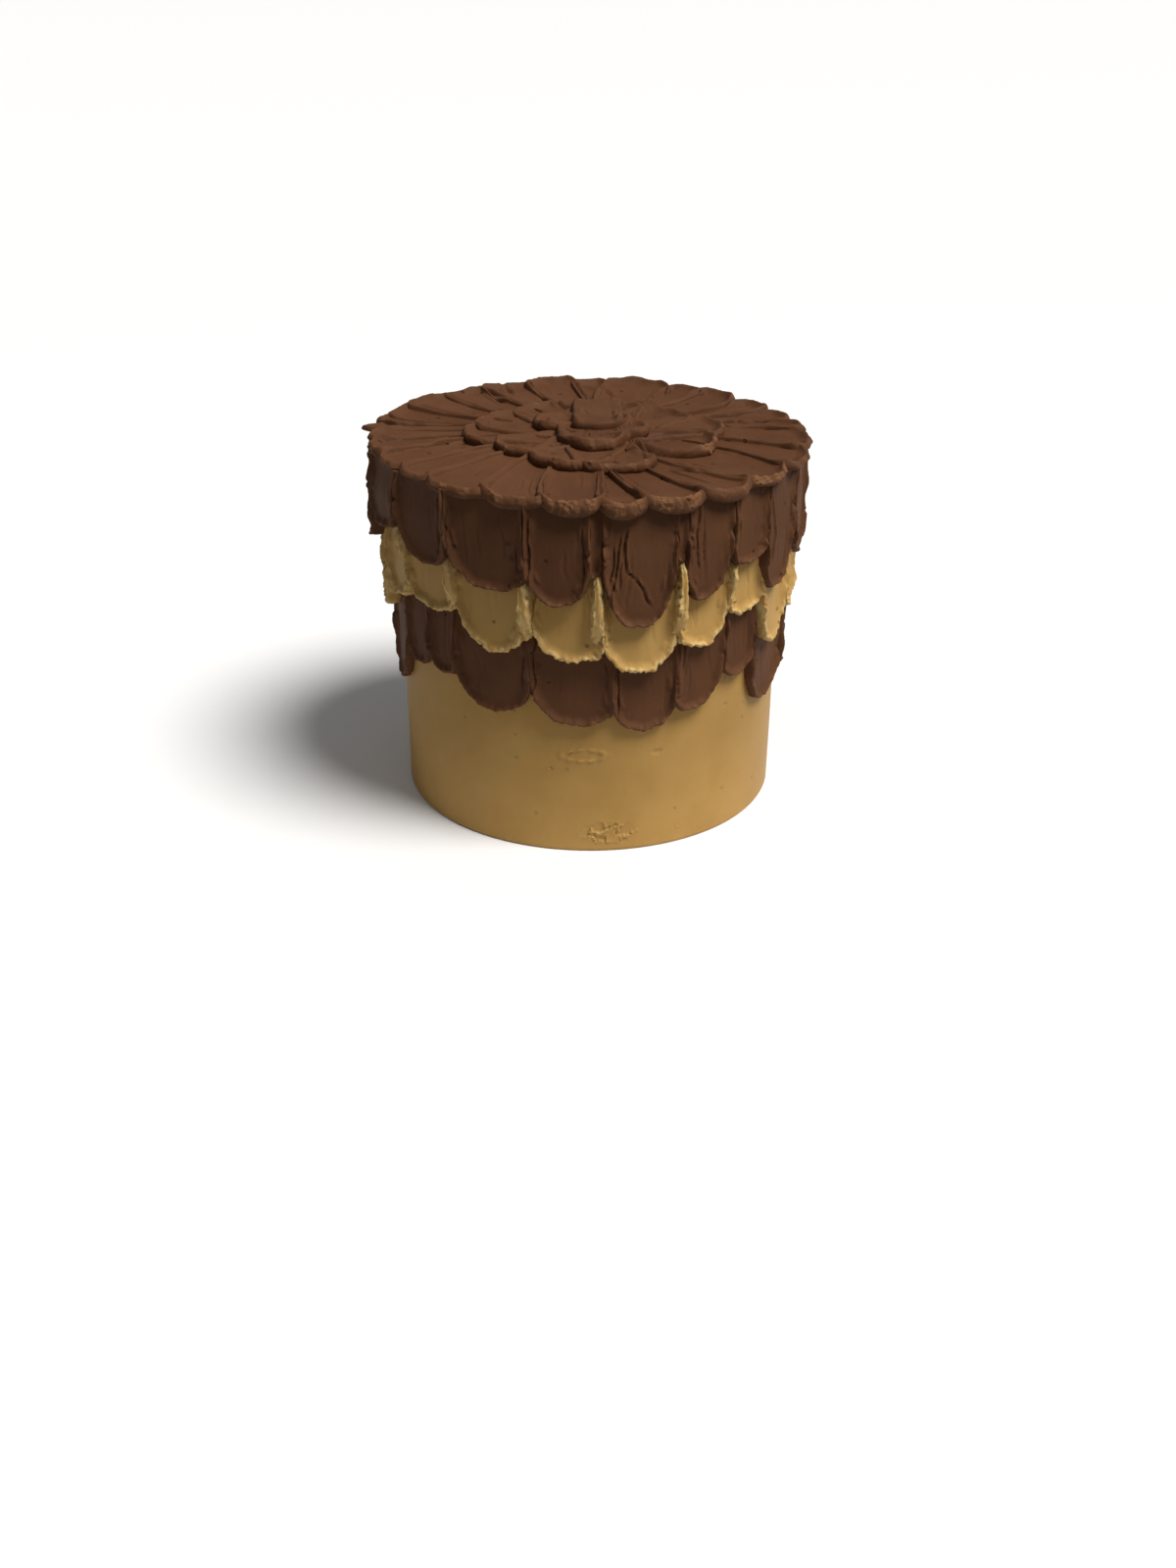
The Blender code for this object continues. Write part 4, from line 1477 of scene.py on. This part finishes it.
@dataclass
class Studio:
    """Camera, light and floor.

    Args:
        camera_at: The camera's place, in metres.
        pitch: How far it looks down, in degrees.
        yaw: How far it looks to the right, in degrees.
        roll: How far it is turned about its own axis, in degrees.
        lens: Its focal length, in mm.
        sensor: Width of its sensor, in mm.
        key_from: The way to the key light.
        key_angle: How wide that light is in the sky, in degrees.
        key_power: Its power, in watts to the square metre.
        key_colour: Its colour.
        sky: Strength of the even light from all round.
        pale: How much light the floor throws back.
        near: Radius of the part of the floor that throws light on the cake, in metres.
        far: Radius of the whole floor, in metres.
        sides: Corners of the floor.
    """

    camera_at: tuple[float, float, float] = (0.0, -0.6032, 0.3021)
    pitch: float = 27.35
    yaw: float = -0.02
    roll: float = 0.43
    lens: float = 36.0
    sensor: float = 36.0
    key_from: tuple[float, float, float] = (0.46, -0.26, 0.89)
    key_angle: float = 26.0
    key_power: float = 3.75
    key_colour: tuple[float, float, float] = (1.0, 0.985, 0.96)
    sky: float = 0.19
    pale: float = 0.9
    near: float = 0.165
    far: float = 60.0
    sides: int = 96

    def camera(self) -> None:
        """Places the camera at the photograph's viewing angle."""
        data = bpy.data.cameras.new("camera")
        data.lens = self.lens
        data.sensor_width = self.sensor
        data.clip_start = 0.01
        made = bpy.data.objects.new("camera", data)
        bpy.context.scene.collection.objects.link(made)
        pitch, yaw, roll = (math.radians(angle) for angle in (self.pitch, self.yaw, self.roll))
        ahead = Vector((math.sin(yaw) * math.cos(pitch), math.cos(yaw) * math.cos(pitch), -math.sin(pitch)))
        right = ahead.cross(Vector((0, 0, 1))).normalized()
        up = right.cross(ahead)
        right, up = (right * math.cos(roll) + up * math.sin(roll),
                     up * math.cos(roll) - right * math.sin(roll))
        turn = Matrix((right, up, -ahead)).transposed().to_4x4()
        made.matrix_world = Matrix.Translation(self.camera_at) @ turn
        bpy.context.scene.camera = made

    def light(self) -> None:
        """Lights the cake softly, from above and the right."""
        scene = bpy.context.scene
        scene.view_settings.view_transform = "Standard"
        scene.world = bpy.data.worlds.new("studio")
        scene.world.use_nodes = True
        sky = scene.world.node_tree.nodes["Background"]
        sky.inputs["Color"].default_value = (1.0, 1.0, 1.0, 1)
        sky.inputs["Strength"].default_value = self.sky
        data = bpy.data.lights.new("key", "SUN")
        data.angle = math.radians(self.key_angle)
        data.energy = self.key_power
        data.color = self.key_colour
        made = bpy.data.objects.new("key", data)
        made.rotation_euler = (-Vector(self.key_from)).to_track_quat("-Z", "Y").to_euler()
        scene.collection.objects.link(made)

    def floor(self) -> None:
        """Lays the plain pale floor, of which only the part near the cake throws light back on it."""
        material = bpy.data.materials.new("pale_floor")
        material.use_nodes = True
        shader = material.node_tree.nodes["Principled BSDF"]
        shader.inputs["Base Color"].default_value = (self.pale, self.pale, self.pale, 1)
        shader.inputs["Roughness"].default_value = 0.7
        turn = np.linspace(0, 2 * math.pi, self.sides, endpoint=False)
        level = np.stack([np.cos(turn), np.sin(turn), np.zeros_like(turn)], -1)
        inner = np.arange(self.sides)
        outer = inner + self.sides
        band = np.stack([inner, outer, np.roll(outer, -1), np.roll(inner, -1)], -1).tolist()
        near = bpy.data.meshes.new("floor_near")
        near.from_pydata((level * self.near).tolist(), [], [inner.tolist()])
        far = bpy.data.meshes.new("floor_far")
        far.from_pydata(np.concatenate([level * self.near, level * self.far]).tolist(), [], band)
        for mesh in (near, far):
            mesh.materials.append(material)
            made = bpy.data.objects.new(mesh.name, mesh)
            made.visible_diffuse = mesh is near
            bpy.context.scene.collection.objects.link(made)


def settle(piece: bpy.types.Object, node: str) -> None:
    """Ties a piece to the frame.

    Args:
        piece: The piece.
        node: The node that it replaces.
    """
    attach(piece, BODY)
    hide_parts(node)
    LOG.info("%s: %d faces", piece.name, len(piece.data.polygons))


def main() -> None:
    """Builds the studio, the body and the rows of petals."""
    logging.basicConfig(level=logging.INFO)
    studio = Studio()
    studio.camera()
    studio.light()
    studio.floor()
    icings = {finish: finish.material() for finish in (CHOCOLATE, TAN, TAN_PETALS_BRIGHTENED)}
    settle(IcedDrum().build(drum_tree(), icings[TAN]), "cake_body")
    relief = sculpt_tree()
    for row in petal_rows():
        finish = TAN_PETALS_BRIGHTENED if row.slot is Slot.TAN else CHOCOLATE
        settle(row.build(relief, icings[finish]), row.node)


if __name__ == "__main__":
    main()
